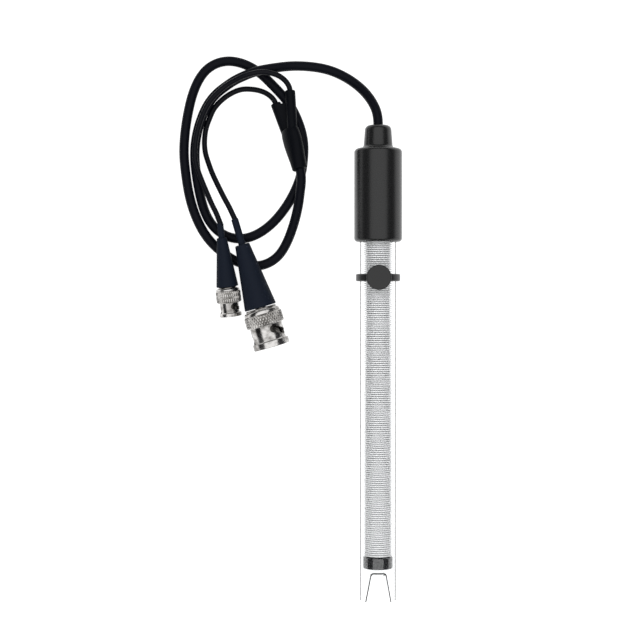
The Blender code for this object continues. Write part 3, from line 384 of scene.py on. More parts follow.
# From the groove floor up to the rib tips the colour goes from painted grey shade to white.
up_the_rib = spread(tree, from_axis.outputs["Value"], painted_shade_up_to, white_from)
tones = tree.nodes.new("ShaderNodeValToRGB")
tones.color_ramp.elements[0].color = groove_painted_shade
tones.color_ramp.elements[1].color = tip_colour
tree.links.new(up_the_rib, tones.inputs["Fac"])
tree.links.new(tones.outputs["Color"], shader.inputs["Base Color"])
cloudy = tree.nodes.new("ShaderNodeBsdfTranslucent")
cloudy.inputs["Color"].default_value = (0.90, 0.91, 0.92, 1)
lets_light_in = tree.nodes.new("ShaderNodeMixShader")
lets_light_in.inputs["Fac"].default_value = 0.30
tree.links.new(shader.outputs[0], lets_light_in.inputs[1])
tree.links.new(cloudy.outputs[0], lets_light_in.inputs[2])
outward = tree.nodes.new("ShaderNodeVectorTransform")
outward.vector_type = "NORMAL"
outward.convert_from = "OBJECT"
outward.convert_to = "WORLD"
turning_away = tree.nodes.new("ShaderNodeLayerWeight")
tree.links.new(flat.outputs["Vector"], outward.inputs["Vector"])
tree.links.new(outward.outputs["Vector"], turning_away.inputs["Normal"])
only_on_tips = tree.nodes.new("ShaderNodeMath")
only_on_tips.operation = "MULTIPLY"
seen_edge_on = spread(tree, turning_away.outputs["Facing"], 0.27, 0.72, to_high=0.85)
tree.links.new(seen_edge_on, only_on_tips.inputs[0])
tree.links.new(up_the_rib, only_on_tips.inputs[1])
see_through = tree.nodes.new("ShaderNodeBsdfTransparent")
thin_tip = tree.nodes.new("ShaderNodeMixShader")
tree.links.new(only_on_tips.outputs[0], thin_tip.inputs["Fac"])
tree.links.new(lets_light_in.outputs[0], thin_tip.inputs[1])
tree.links.new(see_through.outputs[0], thin_tip.inputs[2])
tree.links.new(thin_tip.outputs[0], tree.nodes["Material Output"].inputs["Surface"])
sleeve.data.materials.append(milky)
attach(sleeve, "electrode")
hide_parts("ribbed_sleeve")

# Wires and sensor in the stem.
# Two thin silver wires pick up the voltages, and a ceramic-sheathed bead reads the temperature.
# They stand upright in the stem and the sleeve, and end in the resin that fills the cap.

for node, colour, roughness, metal, per_metre in (
    ("measuring_wire", (0.60, 0.59, 0.57), 0.38, 1.0, 1500),
    ("reference_wire", (0.60, 0.59, 0.57), 0.38, 1.0, 1500),
    ("temperature_sensor", (0.86, 0.84, 0.80), 0.60, 0.0, 2500),
):
    finish, tree, shader = solid_finish(node + "_finish", colour, roughness, metal)
    grain(tree, shader, per_metre, 0.004, roughness - 0.08, roughness + 0.10)
    dress(node, finish)

# Body tube.
# One length of clear polymer tube, 12 mm outside, with a polished surface.
# Two notches are sawn into its open tip, so that a guard of two broad feet stands round the bulb.
# A thin near-black strip along the front notch's edges and dark grey on its cut faces are painted
# shade, drawn as the cut's dark edge line.


def carve(piece, tool, how="DIFFERENCE"):
    """Cuts a tool's shape out of a piece, or joins it on, and takes the tool away."""
    change = piece.modifiers.new("carve", "BOOLEAN")
    change.object = tool
    change.operation = how
    change.solver = "EXACT"
    bpy.context.view_layer.update()
    changed = piece.evaluated_get(bpy.context.evaluated_depsgraph_get())
    mesh = bpy.data.meshes.new_from_object(changed)
    piece.modifiers.clear()
    piece.data = mesh
    mesh.shade_smooth()
    mesh.set_sharp_from_angle(angle=math.radians(edge_angle))
    bpy.data.objects.remove(tool)


def skinned(name, sections, joined=False):
    """A mesh through rings of points in millimetres, its ends closed or joined to each other."""
    places = [tuple(c * MM for c in point) for section in sections for point in section]
    count = len(sections[0])
    faces = []
    if not joined:
        faces = [tuple(range(count)), tuple(range(len(places) - count, len(places)))]
    for ring in range(len(sections) if joined else len(sections) - 1):
        low = ring * count
        high = (ring + 1) % len(sections) * count
        for k in range(count):
            n = (k + 1) % count
            faces.append((low + k, low + n, high + n, high + k))
    mesh = bpy.data.meshes.new(name)
    mesh.from_pydata(places, [], faces)
    return mesh


def lofted(name, sections, sharp=edge_angle):
    """A closed piece through rings of points in millimetres."""
    return finished_object(name, skinned(name, sections), sharp)


tube_bore = 5.3
guard_height = 9.6
guard_top_width = 4.6
guard_mouth_width = 8.1
guard_corner = 0.9
fill_hole_height = 108.4
fill_hole_radius = 1.5
past_wall = 8.0
past_tip = 1.0
outline = [(tube_bore, 0.0), (tube_radius, 0.0), (tube_radius, tube_top), (tube_bore, tube_top)]
tube = turned("clear_body_tube", outline, 128)
slope = (guard_mouth_width - guard_top_width) / 2 / guard_height
lean = math.degrees(math.atan(slope))
half_top = guard_top_width / 2
half_mouth = guard_mouth_width / 2
below = half_mouth + slope * past_tip
inset = guard_corner * math.tan(math.radians(90 - lean) / 2)
corner_height = guard_height - guard_corner
notch_outline = [(-below, -past_tip), (below, -past_tip)]
notch_outline += corner(half_top - inset, corner_height, guard_corner, lean, 90, 8)
notch_outline += corner(inset - half_top, corner_height, guard_corner, 90, 180 - lean, 8)
sections = [[(x, y, z) for x, z in notch_outline] for y in (-past_wall, past_wall)]
carve(tube, lofted("guard_notch", sections))
outline = [(0, 0.0), (fill_hole_radius, 0.0), (fill_hole_radius, past_wall), (0, past_wall)]
hole = turned("fill_hole", outline, 40)
at_fill_hole = Matrix.Translation((0, 0, fill_hole_height * MM))
hole.data.transform(at_fill_hole @ Matrix.Rotation(math.pi / 2, 4, "X"))
carve(tube, hole)
tube.matrix_world = electrode_lies
bore_clear = clear_finish("tube_bore_clear", (0.985, 0.988, 0.99), 1.12, 0.0)
tube_clear = clear_finish("tube_clear_polymer", (0.985, 0.988, 0.99), 1.12, 0.0)
tree = tube_clear.node_tree
output = tree.nodes["Material Output"]
clear_wall = output.inputs["Surface"].links[0].from_socket
# Where the wall is seen edge-on a flat grey is mixed in: a painted shade line along the tube's
# sides.
turning_away = tree.nodes.new("ShaderNodeLayerWeight")
seen_edge_on = spread(tree, turning_away.outputs["Facing"], 0.60, 0.78, to_high=0.80)
painted_edge_shade = tree.nodes.new("ShaderNodeBsdfDiffuse")
painted_edge_shade.inputs["Color"].default_value = (0.14, 0.14, 0.143, 1)
painted_side_line = tree.nodes.new("ShaderNodeMixShader")
tree.links.new(seen_edge_on, painted_side_line.inputs["Fac"])
tree.links.new(clear_wall, painted_side_line.inputs[1])
tree.links.new(painted_edge_shade.outputs[0], painted_side_line.inputs[2])
tree.links.new(painted_side_line.outputs[0], output.inputs["Surface"])
# The notch's cut faces are painted dark grey, as painted shade.
notch_painted_shade, tree, shader = solid_finish("tube_notch_painted_shade", (0.10, 0.10, 0.105), 0.45)
grain(tree, shader, 4000, 0.010, 0.35, 0.55)
tube.data.materials.clear()
for finish in (tube_clear, notch_painted_shade, bore_clear):
    tube.data.materials.append(finish)
mid_wall = (tube_bore + tube_radius) / 2
for face in tube.data.polygons:
    height = face.center.z / MM
    if 0.1 < height < guard_height + 0.1 and abs(face.normal.z) > 0.05:
        face.material_index = 1
    elif face.center.xy.length < mid_wall * MM:
        face.material_index = 2
    else:
        face.material_index = 0
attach(tube, "electrode")
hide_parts("outer_tube")

rim_inner = 5.85
rim_outer = 6.02
rim_on_side = 0.27
rim_more_on_top = 0.17
rim_path = [(half_mouth, 0.0), *(p for p in notch_outline if p[1] > 0), (-half_mouth, 0.0)]
sections = []
for i, (x, z) in enumerate(rim_path):
    before = rim_path[max(i - 1, 0)]
    after = rim_path[min(i + 1, len(rim_path) - 1)]
    along = Vector((after[0] - before[0], after[1] - before[1])).normalized()
    width = rim_on_side + rim_more_on_top * abs(along.x)
    ring = []
    for reach, r in ((0, rim_inner), (0, rim_outer), (width, rim_outer), (width, rim_inner)):
        px = x + along.y * reach
        pz = z - along.x * reach
        ring.append((px, -math.sqrt(r * r - px * px), max(pz, 0.0)))
    sections.append(ring)
guard_rim = lofted("guard_sawn_rim", sections)
guard_rim.matrix_world = electrode_lies
# The strip is near black: painted shade that draws the notch's dark edge line.
rim_painted_shade, tree, shader = solid_finish("guard_rim_painted_shade", (0.012, 0.012, 0.0125), 0.55)
shader.inputs["Specular IOR Level"].default_value = 0.25
grain(tree, shader, 3000, 0.006, 0.45, 0.70)
guard_rim.data.materials.append(rim_painted_shade)
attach(guard_rim, "electrode")

# Seals at the top.
# A flanged rubber stopper closes the body tube round the stem, and a small bung closes the stem.
# Both are cut from soft black rubber, and the cap hides them.

stopper_black, tree, shader = solid_finish("stopper_rubber", (0.020, 0.020, 0.021), 0.6)
grain(tree, shader, 1800, 0.010, 0.5, 0.75)
for node in ("top_seal", "stem_bung"):
    dress(node, stopper_black)

# Band over the filling hole.
# A soft rubber band grips the tube, and its thick round button closes the filling hole.
# It is moulded in one piece, and slides up or down when the electrode is filled or in use.

band_bore = 6.3
band_outer = 7.42
band_half = 1.225
band_round = 0.45
button_radius = 4.15
button_round = 0.42
button_back = 4.0
button_front = 8.2
past_button = 6.0
rim = band_outer - band_round
low = corner(rim, band_round - band_half, band_round, -90, 0, 5)
high = corner(rim, band_half - band_round, band_round, 0, 90, 5)
outline = [(band_bore, -band_half), *low, *high, (band_bore, band_half)]
band = turned("fill_hole_band", outline, 128)
outline = [(0, button_back), (button_radius, button_back)]
outline += corner(button_radius - button_round, button_front - button_round, button_round, 0, 90, 6)
outline.append((0, button_front))
button = turned("fill_hole_button", outline, 80)
button.data.transform(Matrix.Rotation(math.pi / 2, 4, "X"))
carve(band, button, "UNION")
outline = [(0, -past_button), (band_bore, -past_button), (band_bore, past_button), (0, past_button)]
carve(band, turned("band_bore", outline, 128))
band.matrix_world = electrode_lies @ at_fill_hole
band_black, tree, shader = solid_finish("band_rubber", (0.009, 0.009, 0.0093), 0.36)
shader.inputs["Specular IOR Level"].default_value = 0.42
noise = grain(tree, shader, 1600, 0.004, 0.30, 0.42)
mottled(tree, shader, noise, (0.0080, 0.0080, 0.0083), (0.0110, 0.0110, 0.0114))
band.data.materials.clear()
band.data.materials.append(band_black)
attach(band, "fill_band")
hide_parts("fill_band")

# Cap.
# A moulded black cap is pushed over the tube and filled with resin from above.
# Its stepped boss grips the cable, with a fillet at its foot and a generous radius on its rim.

cap_top = 151.6
cap_top_round = 1.3
boss_foot = 4.8
boss_fillet = 1.4
boss_head = 4.45
boss_round = 1.7
boss_top = 159.4
socket = 6.3
socket_top = 132.5
cavity = 5.0
cavity_top = 146.0
channel = 1.85
rim = cap_radius - cap_rim_round
outline = [(socket, shaft_length)]
outline += corner(rim, shaft_length + cap_rim_round, cap_rim_round, -90, 0, 10)
outline += corner(cap_radius - cap_top_round, cap_top - cap_top_round, cap_top_round, 0, 90, 10)
outline += corner(boss_foot + boss_fillet, cap_top + boss_fillet, boss_fillet, 270, 180, 10)
outline += corner(boss_head - boss_round, boss_top - boss_round, boss_round, 0, 90, 12)
outline += [(channel, boss_top), (channel, cavity_top), (cavity, cavity_top), (cavity, socket_top)]
outline.append((socket, socket_top))
cap = turned("moulded_cap", outline, 128)
cap.matrix_world = electrode_lies
cap_black, tree, shader = solid_finish("cap_moulded_black", (0.008, 0.008, 0.0083), 0.28)
shader.inputs["Specular IOR Level"].default_value = 0.45
noise = grain(tree, shader, 2200, 0.002, 0.25, 0.32)
mottled(tree, shader, noise, (0.0070, 0.0070, 0.0073), (0.0095, 0.0095, 0.0098))
cap.data.materials.append(cap_black)
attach(cap, "electrode")
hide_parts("cap")

resin_black, tree, shader = solid_finish("potting_resin", (0.040, 0.040, 0.044), 0.25)
grain(tree, shader, 700, 0.010, 0.2, 0.35)
dress("cap_potting", resin_black)

# Main cable.
# A round screened cable of 3.1 mm leaves the boss and lies on the bench in two loops.
# Its jacket is extruded soft polymer, nearly black with a blue cast, matt with a faint sheen.
# It is drawn 0.15 mm thicker, as it looks in the light.


def cable_line(route, step, resting):
    """Points along a natural cubic spline through a route's own points, straight at both ends.

    A point without a height gets the one of a cable that rests on the bench.
    """
    knots = np.array([(*point, resting)[:3] for point in route]) * MM
    gaps = np.linalg.norm(np.diff(knots, axis=0), axis=1)
    stations = np.concatenate(([0.0], np.cumsum(gaps)))
    count = len(knots)
    system = np.eye(count)
    target = np.zeros((count, 3))
    for i in range(1, count - 1):
        before, after = gaps[i - 1], gaps[i]
        system[i, i - 1 : i + 2] = before, 2 * (before + after), after
        target[i] = 6 * ((knots[i + 1] - knots[i]) / after - (knots[i] - knots[i - 1]) / before)
    bend = np.linalg.solve(system, target)
    free = stations[-2] - stations[1]
    evenly = np.linspace(stations[1], stations[-2], int(round(free / (step * MM))) + 1)
    points = []
    for s in (0.0, *evenly, stations[-1]):
        i = min(int(np.searchsorted(stations, s, side="right")) - 1, count - 2)
        a = (stations[i + 1] - s) / gaps[i]
        b = 1.0 - a
        curve = ((a**3 - a) * bend[i] + (b**3 - b) * bend[i + 1]) * gaps[i] ** 2 / 6
        points.append(a * knots[i] + b * knots[i + 1] + curve)
    return points


def cable(name, points, diameter):
    """A round cable whose jacket follows the points and nowhere sinks into the bench."""
    radius = diameter / 2 * MM
    data = bpy.data.curves.new(name, "CURVE")
    data.dimensions = "3D"
    data.bevel_depth = radius
    data.bevel_resolution = 6
    data.use_fill_caps = True
    spline = data.splines.new("POLY")
    spline.points.add(len(points) - 1)
    for place, point in zip(spline.points, points):
        place.co = (point[0], point[1], max(point[2], radius), 1.0)
    made = bpy.data.objects.new(name, data)
    shown.collection.objects.link(made)
    return made


main_route = [
    (0.0, 66.3, 8.4), (0.0, 72.5, 8.5), (0.0, 78.4, 8.6), (-0.08, 81.7, 8.58),
    (-0.55, 84.4, 8.12), (-1.5, 86.9, 7.15), (-2.9, 89.4, 5.85), (-4.7, 91.8, 4.5),
    (-7.0, 94.1, 3.3), (-9.9, 96.3, 2.35), (-13.52, 98.32, 1.6), (-17.47, 99.7), (-21.92, 100.51),
    (-26.3, 100.8, 1.75), (-30.69, 100.5, 2.75), (-34.5, 99.8, 4.1), (-37.9, 99.1, 4.95),
    (-41.4, 98.3, 4.95), (-45.0, 97.1, 4.0), (-48.3, 95.8, 2.7), (-51.2, 94.1, 1.8),
    (-54.2, 91.8), (-57.2, 88.3), (-59.3, 84.2), (-60.9, 79.4), (-61.8, 74.49), (-62.0, 69.6),
    (-61.6, 64.8), (-60.8, 59.7), (-59.7, 54.7), (-57.9, 49.7), (-54.7, 45.3), (-50.3, 42.7),
    (-45.51, 42.2), (-40.82, 43.68), (-36.61, 46.56), (-32.87, 50.5), (-29.69, 55.15),
    (-27.2, 60.2), (-25.7, 65.1), (-25.1, 69.9), (-25.1, 74.7), (-26.0, 79.3), (-27.7, 83.8),
    (-30.1, 88.1), (-33.0, 91.6), (-36.18, 94.92), (-39.43, 97.98), (-42.77, 100.28),
    (-46.54, 101.87), (-50.8, 102.46), (-54.9, 101.55), (-58.29, 99.26), (-60.81, 95.79),
    (-62.74, 91.22), (-64.07, 86.07), (-65.0, 80.79), (-65.55, 75.69), (-65.68, 70.6),
    (-65.21, 65.12), (-64.4, 59.43), (-63.14, 53.89), (-61.2, 48.54), (-58.68, 43.85),
    (-55.52, 39.96), (-51.81, 36.84), (-47.5, 34.28), (-42.8, 32.94), (-37.96, 33.51),
    (-33.84, 36.14), (-31.08, 40.17, 1.6), (-29.14, 44.78, 2.1), (-27.7, 49.4, 3.2),
    (-26.7, 54.0, 4.4), (-26.1, 58.4, 5.4), (-25.8, 62.2, 6.15), (-26.2, 65.2, 6.05),
    (-26.5, 66.3, 5.87),
]
main_line = cable_line(main_route, step=0.8, resting=1.55)
main_cable = cable("main_cable_jacket", main_line, diameter=3.25)
jacket_black, tree, shader = solid_finish("jacket_blue_black", (0.0028, 0.0032, 0.0060), 0.42)
shader.inputs["Specular IOR Level"].default_value = 0.07
noise = grain(tree, shader, 1400, 0.012, 0.36, 0.50)
mottled(tree, shader, noise, (0.0022, 0.0026, 0.0048), (0.0036, 0.0042, 0.0078))
main_cable.data.materials.append(jacket_black)
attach(main_cable, "electrode")
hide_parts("main_cable")

# Splitter.
# Where the cable divides, a wide sleeve is shrunk over it and over two slim sleeves.
# Each slim sleeve is shrunk on one thin cable, and the heat leaves the edges softly rounded.
# The wide sleeve's mouth is pinched to a flat web between the two.


def aimed(start, direction, upward):
    """Matrix of a frame at a point, with Z along a direction and Y as near as can be to upward."""
    z_axis = direction.normalized()
    x_axis = upward.cross(z_axis).normalized()
    y_axis = z_axis.cross(x_axis)
    return Matrix.Translation(start) @ Matrix((x_axis, y_axis, z_axis)).transposed().to_4x4()


splitter_start = Vector((-26.2, 65.2, 6.05))
splitter_end = Vector((-29.8, 79.1, 3.92))
large_root = Vector((-31.1, 78.6, 2.35))
large_tip = Vector((-34.6, 88.1, 2.10))
small_root = Vector((-28.8, 78.6, 5.50))
small_tip = Vector((-29.6, 92.0, 5.10))
splitter_length = (splitter_end - splitter_start).length
splitter_round = 2.6
splitter_half_wide = 4.05
splitter_half_thick = 2.7
splitter_taper = 10.2
mouth_length = 3.2
mouth_narrowing = 0.55
mouth_pinch = 0.05
lip = 0.5
wider = splitter_half_wide - splitter_round
thicker = splitter_half_thick - splitter_round
stations = corner(-lip, lip, lip, -90, 0, 6)
stations += [(0, lip + (splitter_length - 2 * lip) * i / 22) for i in range(1, 22)]
stations += corner(-lip, splitter_length - lip, lip, 0, 90, 6)
sections = []
for shrunk, z in stations:
    share = min(1.0, z / splitter_taper)
    ease = share * share * (3 - 2 * share)
    narrowing = mouth_narrowing * max(0.0, 1.0 - (splitter_length - z) / mouth_length) ** 2
    half_wide = splitter_round + wider * ease + shrunk - narrowing
    half_thick = splitter_round + thicker * ease + shrunk - narrowing / 2
    ring = []
    for k in range(64):
        a = 2 * math.pi * k / 64
        pinch = 1.0 - mouth_pinch * ease * math.cos(a) ** 8
        ring.append((half_thick * pinch * math.cos(a), half_wide * math.sin(a), z))
    sections.append(ring)
splitter = lofted("splitter_shrink_sleeve", sections, 50.0)
across = small_root - large_root
splitter.matrix_world = aimed(splitter_start * MM, splitter_end - splitter_start, across)
shrink_black, tree, shader = solid_finish("shrink_sleeve_black", (0.0026, 0.0031, 0.0046), 0.40)
shader.inputs["Specular IOR Level"].default_value = 0.05
noise = grain(tree, shader, 500, 0.030, 0.34, 0.50, (1, 1, 0.25))
mottled(tree, shader, noise, (0.0020, 0.0025, 0.0038), (0.0034, 0.0040, 0.0060))
splitter.data.materials.append(shrink_black)
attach(splitter, "electrode")
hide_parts("splitter_sleeve")


def slim_sleeve(name, node, root, tip):
    """A slim shrunk sleeve from inside the splitter out to its open end, round a thin cable."""
    radius, foot, buried = 1.75, 1.7, 1.5
    hole, hole_depth = 1.10, 1.4
    length = (tip - root).length
    outline = [(0, -buried), (foot, -buried), (radius, buried)]
    outline += corner(radius - lip, length - lip, lip, 0, 90, 6)
    outline += [(hole, length), (hole, length - hole_depth), (0, length - hole_depth)]
    made = turned(name, outline, 56)
    made.matrix_world = aimed(root * MM, tip - root, Vector((0, 0, 1)))
    made.data.materials.append(shrink_black)
    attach(made, "electrode")
    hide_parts(node)
    return made


large_sleeve = slim_sleeve("large_branch_shrink", "large_branch_sleeve", large_root, large_tip)
small_sleeve = slim_sleeve("small_branch_shrink", "small_branch_sleeve", small_root, small_tip)

web_height = 3.85
web_half_thick = 0.55
web_thinning = 0.20
large_end = 0.94
small_end = large_end * (large_tip - large_root).length / (small_tip - small_root).length
sections = []
for i in range(13):
    share = i / 12
    left = large_root.lerp(large_tip, share * large_end)
    right = small_root.lerp(small_tip, share * small_end)
    half = web_half_thick - web_thinning * share
    low, high = web_height - half, web_height + half
    sections.append([
        (left.x, left.y, low), (right.x, right.y, low),
        (right.x, right.y, high), (left.x, left.y, high),
    ])
web = lofted("shrink_sleeve_web", sections)
web.data.materials.append(shrink_black)
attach(web, "electrode")

# Thin cables to the plugs.
# Each is a 1.7 mm coaxial lead with a smooth, shinier jacket, drawn 0.15 mm thicker too.
# They follow the main cable round its loop and enter the tips of the plugs' boots.

large_route = [
    (-34.2, 87.0, 2.13), (-34.8, 88.6, 2.09), (-36.2, 90.4, 1.8), (-38.0, 91.7, 1.25),
    (-40.32, 92.62, 0.9), (-43.01, 93.03), (-45.96, 92.98), (-48.82, 92.05), (-51.6, 90.4),
    (-54.0, 88.29), (-55.81, 85.92), (-57.02, 83.19), (-58.06, 80.37), (-58.64, 77.33),
    (-58.77, 74.2, 0.95), (-58.37, 71.09, 1.5), (-57.4, 68.0, 2.5), (-56.18, 64.77, 3.7),
    (-54.71, 61.55, 4.9), (-53.12, 58.34, 5.95), (-51.52, 55.24, 6.75), (-49.89, 52.26, 7.25),
    (-48.25, 48.8, 7.49),
]
small_route = [
    (-29.5, 90.9, 5.13), (-29.7, 92.6, 5.15), (-30.5, 94.3, 5.5), (-32.0, 95.8, 6.2),
    (-34.26, 96.98, 7.0), (-36.84, 97.57, 7.6), (-39.39, 97.7, 7.78), (-42.07, 97.3, 7.68),
    (-44.9, 96.6, 6.98), (-48.1, 95.3, 5.78), (-51.1, 93.7, 4.75), (-54.1, 91.3, 4.28),
    (-57.0, 87.9, 4.27), (-59.1, 83.8, 4.27), (-60.7, 79.1, 4.27), (-61.6, 74.2, 4.27),
    (-61.8, 71.1, 4.27), (-61.6, 68.2, 4.27), (-60.8, 65.2, 4.3), (-59.7, 62.3, 4.55),
    (-58.5, 59.4, 5.0), (-57.1, 56.2, 5.7), (-55.7, 53.1, 6.55), (-54.2, 50.1, 7.2),
    (-53.1, 47.3, 7.3),
]
lead_black, tree, shader = solid_finish("lead_shiny_black", (0.0028, 0.0032, 0.0055), 0.30)
shader.inputs["Specular IOR Level"].default_value = 0.10
noise = grain(tree, shader, 1200, 0.006, 0.24, 0.36)
mottled(tree, shader, noise, (0.0022, 0.0026, 0.0044), (0.0036, 0.0040, 0.0068))
lead_in_neck = 1.2
branches = {}
for which, route in (("large", large_route), ("small", small_route)):
    line = cable_line(route, step=0.6, resting=0.85)
    last = line[-1] - line[-2]
    line.append(line[-1] + last / np.linalg.norm(last) * lead_in_neck * MM)
    lead = cable(which + "_branch_lead", line, diameter=1.85)
    lead.data.materials.append(lead_black)
    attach(lead, "electrode")
    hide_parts(which + "_branch_cable")
    branches[which] = (lead, line)

# Plugs.
# Each thin cable ends in a plated brass bayonet plug under a long tapered rubber boot.
# A knurled coupling turns on the plug's body, and its two ramps draw the socket's lugs in.


def painted_reflection_patches(tree, shader, noise, dark, bright):
    """Painted reflections on plating: dark patches and bright ones with narrow borders."""
    tones = mottled(tree, shader, noise, dark, bright)
    tree.links.new(spread(tree, noise.outputs["Fac"], 0.40, 0.62), tones.inputs["Factor"])
    return tones


# The nickel's colour is painted with dark and bright patches, as painted reflections of the room.
bright_nickel, tree, shader = solid_finish("nickel_bright", (0.46, 0.445, 0.425), 0.20, 1.0)
noise = grain(tree, shader, 260, 0.004, 0.12, 0.26, (1, 1, 1.4))
painted_reflection_patches(tree, shader, noise, (0.21, 0.20, 0.19), (0.66, 0.645, 0.63))
satin_nickel, tree, shader = solid_finish("nickel_satin", (0.30, 0.29, 0.275), 0.30, 1.0)
noise = grain(tree, shader, 600, 0.008, 0.24, 0.38)
painted_reflection_patches(tree, shader, noise, (0.16, 0.154, 0.145), (0.46, 0.445, 0.425))
knurled_nickel, tree, shader = solid_finish("nickel_knurled", (0.36, 0.345, 0.325), 0.30, 1.0)
noise = grain(tree, shader, 420, 0.012, 0.24, 0.38)
reflection_tones = painted_reflection_patches(tree, shader, noise, (0.40, 0.385, 0.37), (0.86, 0.84, 0.81))
# Towards the bottom of the knurl's grooves the colour is painted darker, as painted shade.
crest_share = tree.nodes.new("ShaderNodeAttribute")
crest_share.attribute_name = "knurl_crest_share"
painted_groove_shade = tree.nodes.new("ShaderNodeMix")
painted_groove_shade.data_type = "RGBA"
painted_groove_shade.inputs["A"].default_value = (0.22, 0.212, 0.20, 1)
tree.links.new(crest_share.outputs["Fac"], painted_groove_shade.inputs["Factor"])
tree.links.new(reflection_tones.outputs["Result"], painted_groove_shade.inputs["B"])
tree.links.new(painted_groove_shade.outputs["Result"], shader.inputs["Base Color"])
# Inside the coupling's bore and on the body's inner sleeve the nickel is painted dark, as painted
# shade in the narrow gap.
painted_bore_shade, tree, shader = solid_finish("nickel_painted_bore_shade", (0.1, 0.095, 0.088), 0.45, 1.0)
noise = grain(tree, shader, 700, 0.010, 0.36, 0.54)
mottled(tree, shader, noise, (0.06, 0.057, 0.052), (0.15, 0.142, 0.132))
boot_black, tree, shader = solid_finish("boot_blue_black", (0.0062, 0.0090, 0.0165), 0.60)
shader.inputs["Specular IOR Level"].default_value = 0.08
noise = grain(tree, shader, 1500, 0.010, 0.54, 0.68)
mottled(tree, shader, noise, (0.0050, 0.0074, 0.0138), (0.0074, 0.0108, 0.0195))
white_insulator, tree, shader = solid_finish("insulator_white", (0.88, 0.88, 0.86), 0.38)
grain(tree, shader, 900, 0.006, 0.32, 0.46)
gilt_pin, tree, shader = solid_finish("pin_gilt", (0.86, 0.64, 0.28), 0.20, 1.0)
grain(tree, shader, 1200, 0.002, 0.16, 0.26)
spring_metal, tree, shader = solid_finish("spring_plain_steel", (0.46, 0.46, 0.47), 0.32, 1.0)
grain(tree, shader, 1500, 0.004, 0.26, 0.40)
red_gasket, tree, shader = solid_finish("gasket_silicone", (0.60, 0.10, 0.06), 0.5)
grain(tree, shader, 1500, 0.008, 0.42, 0.60)

plug_sizes = {
    "large": {
        "origin": (-39.47, 18.74, 6.62), "heading": 16.3, "dip": 1.6, "fit": 0.25,
        "boot": (22.0, 2.5, 5.4, 3.3, 10.0, 0.35), "neck": (1.2, 31.0, 9.25),
        "tail": (1.9, 1.2, 9.0), "collar": (5.2, 1.95), "inner": (4.05, 3.3, 12.8),
        "floor": 1.15, "groove": (3.70, 4.28, 4.92), "insulator": (6.5, 2.1, 10.0),
        "pin": (0.675, 11.6, 0.9, 6.0), "grip": (6.45, 2.20, 6.2, 0.30), "barrel": (5.55, 4.875),
        "flange": (6.2, 11.6, 13.8), "seat": 3.4, "slot": 1.1, "detent": (1.3, 8.0),
        "entry": 5.77, "teeth": 40, "slant": 30.0, "edges": (0.25, 0.22), "shoulder_rise": 1.3,
    },
    "small": {
        "origin": (-50.74, 25.81, 4.95), "heading": 6.3, "dip": 6.2, "fit": 0.15,
        "boot": (16.5, 1.7, 3.7, 2.1, 7.4, 0.25), "neck": (1.1, 21.5, 6.75),
        "tail": (1.15, 0.7, 6.6), "collar": (2.95, 1.15), "inner": (2.2, 1.7, 9.4),
        "floor": 0.75, "groove": (2.0, 2.82, 3.28), "insulator": (4.8, 1.1, 7.2),
        "pin": (0.4, 8.4, 0.5, 4.4), "grip": (4.2, 1.30, 5.4, 0.22), "barrel": (3.2, 2.75),
        "flange": (3.78, 8.9, 10.1), "seat": 2.1, "slot": 0.725, "detent": (0.85, 6.7),
        "entry": 3.39, "teeth": 34, "slant": 14.0, "edges": (0.15, 0.14), "shoulder_rise": 0.8,
    },
}


def knurled_ring(name, radius, inner, low, high, depth, teeth, slant):
    """A closed ring whose outer face carries crossing V grooves, chamfered at both ends."""
    points_per_tooth = 6
    row_height = 0.16
    end_chamfer = 0.35
    steepness = 2.2
    across = teeth * points_per_tooth
    down = max(12, int((high - low) / row_height))
    twist = math.tan(math.radians(slant)) / radius
    around = [2 * math.pi * k / across for k in range(across)]
    sections = []
    crest = [0.0] * across
    for row in range(down + 1):
        z = low + (high - low) * row / down
        chamfer = max(0.0, end_chamfer - min(z - low, high - z))
        ring = []
        for angle in around:
            one = abs(((angle + twist * (z - low)) * teeth / (2 * math.pi)) % 1.0 - 0.5) * 2
            two = abs(((angle - twist * (z - low)) * teeth / (2 * math.pi)) % 1.0 - 0.5) * 2
            cut = depth * max(0.0, 1.0 - steepness * min(one, two))
            reach = radius - max(cut, chamfer)
            ring.append((reach * math.cos(angle), reach * math.sin(angle), z))
            crest.append(1.0 - cut / depth)
        sections.append(ring)
    sections.insert(0, [(inner * math.cos(a), inner * math.sin(a), low) for a in around])
    sections.append([(inner * math.cos(a), inner * math.sin(a), high) for a in around])
    mesh = skinned(name, sections, joined=True)
    # Each point keeps its share of the crest, 1 on top and 0 deep in a groove, for the painted
    # shade in the grooves.
    crest_share = mesh.attributes.new("knurl_crest_share", "FLOAT", "POINT")
    crest_share.data.foreach_set("value", crest + [0.0] * across)
    return finished_object(name, mesh, 40.0)


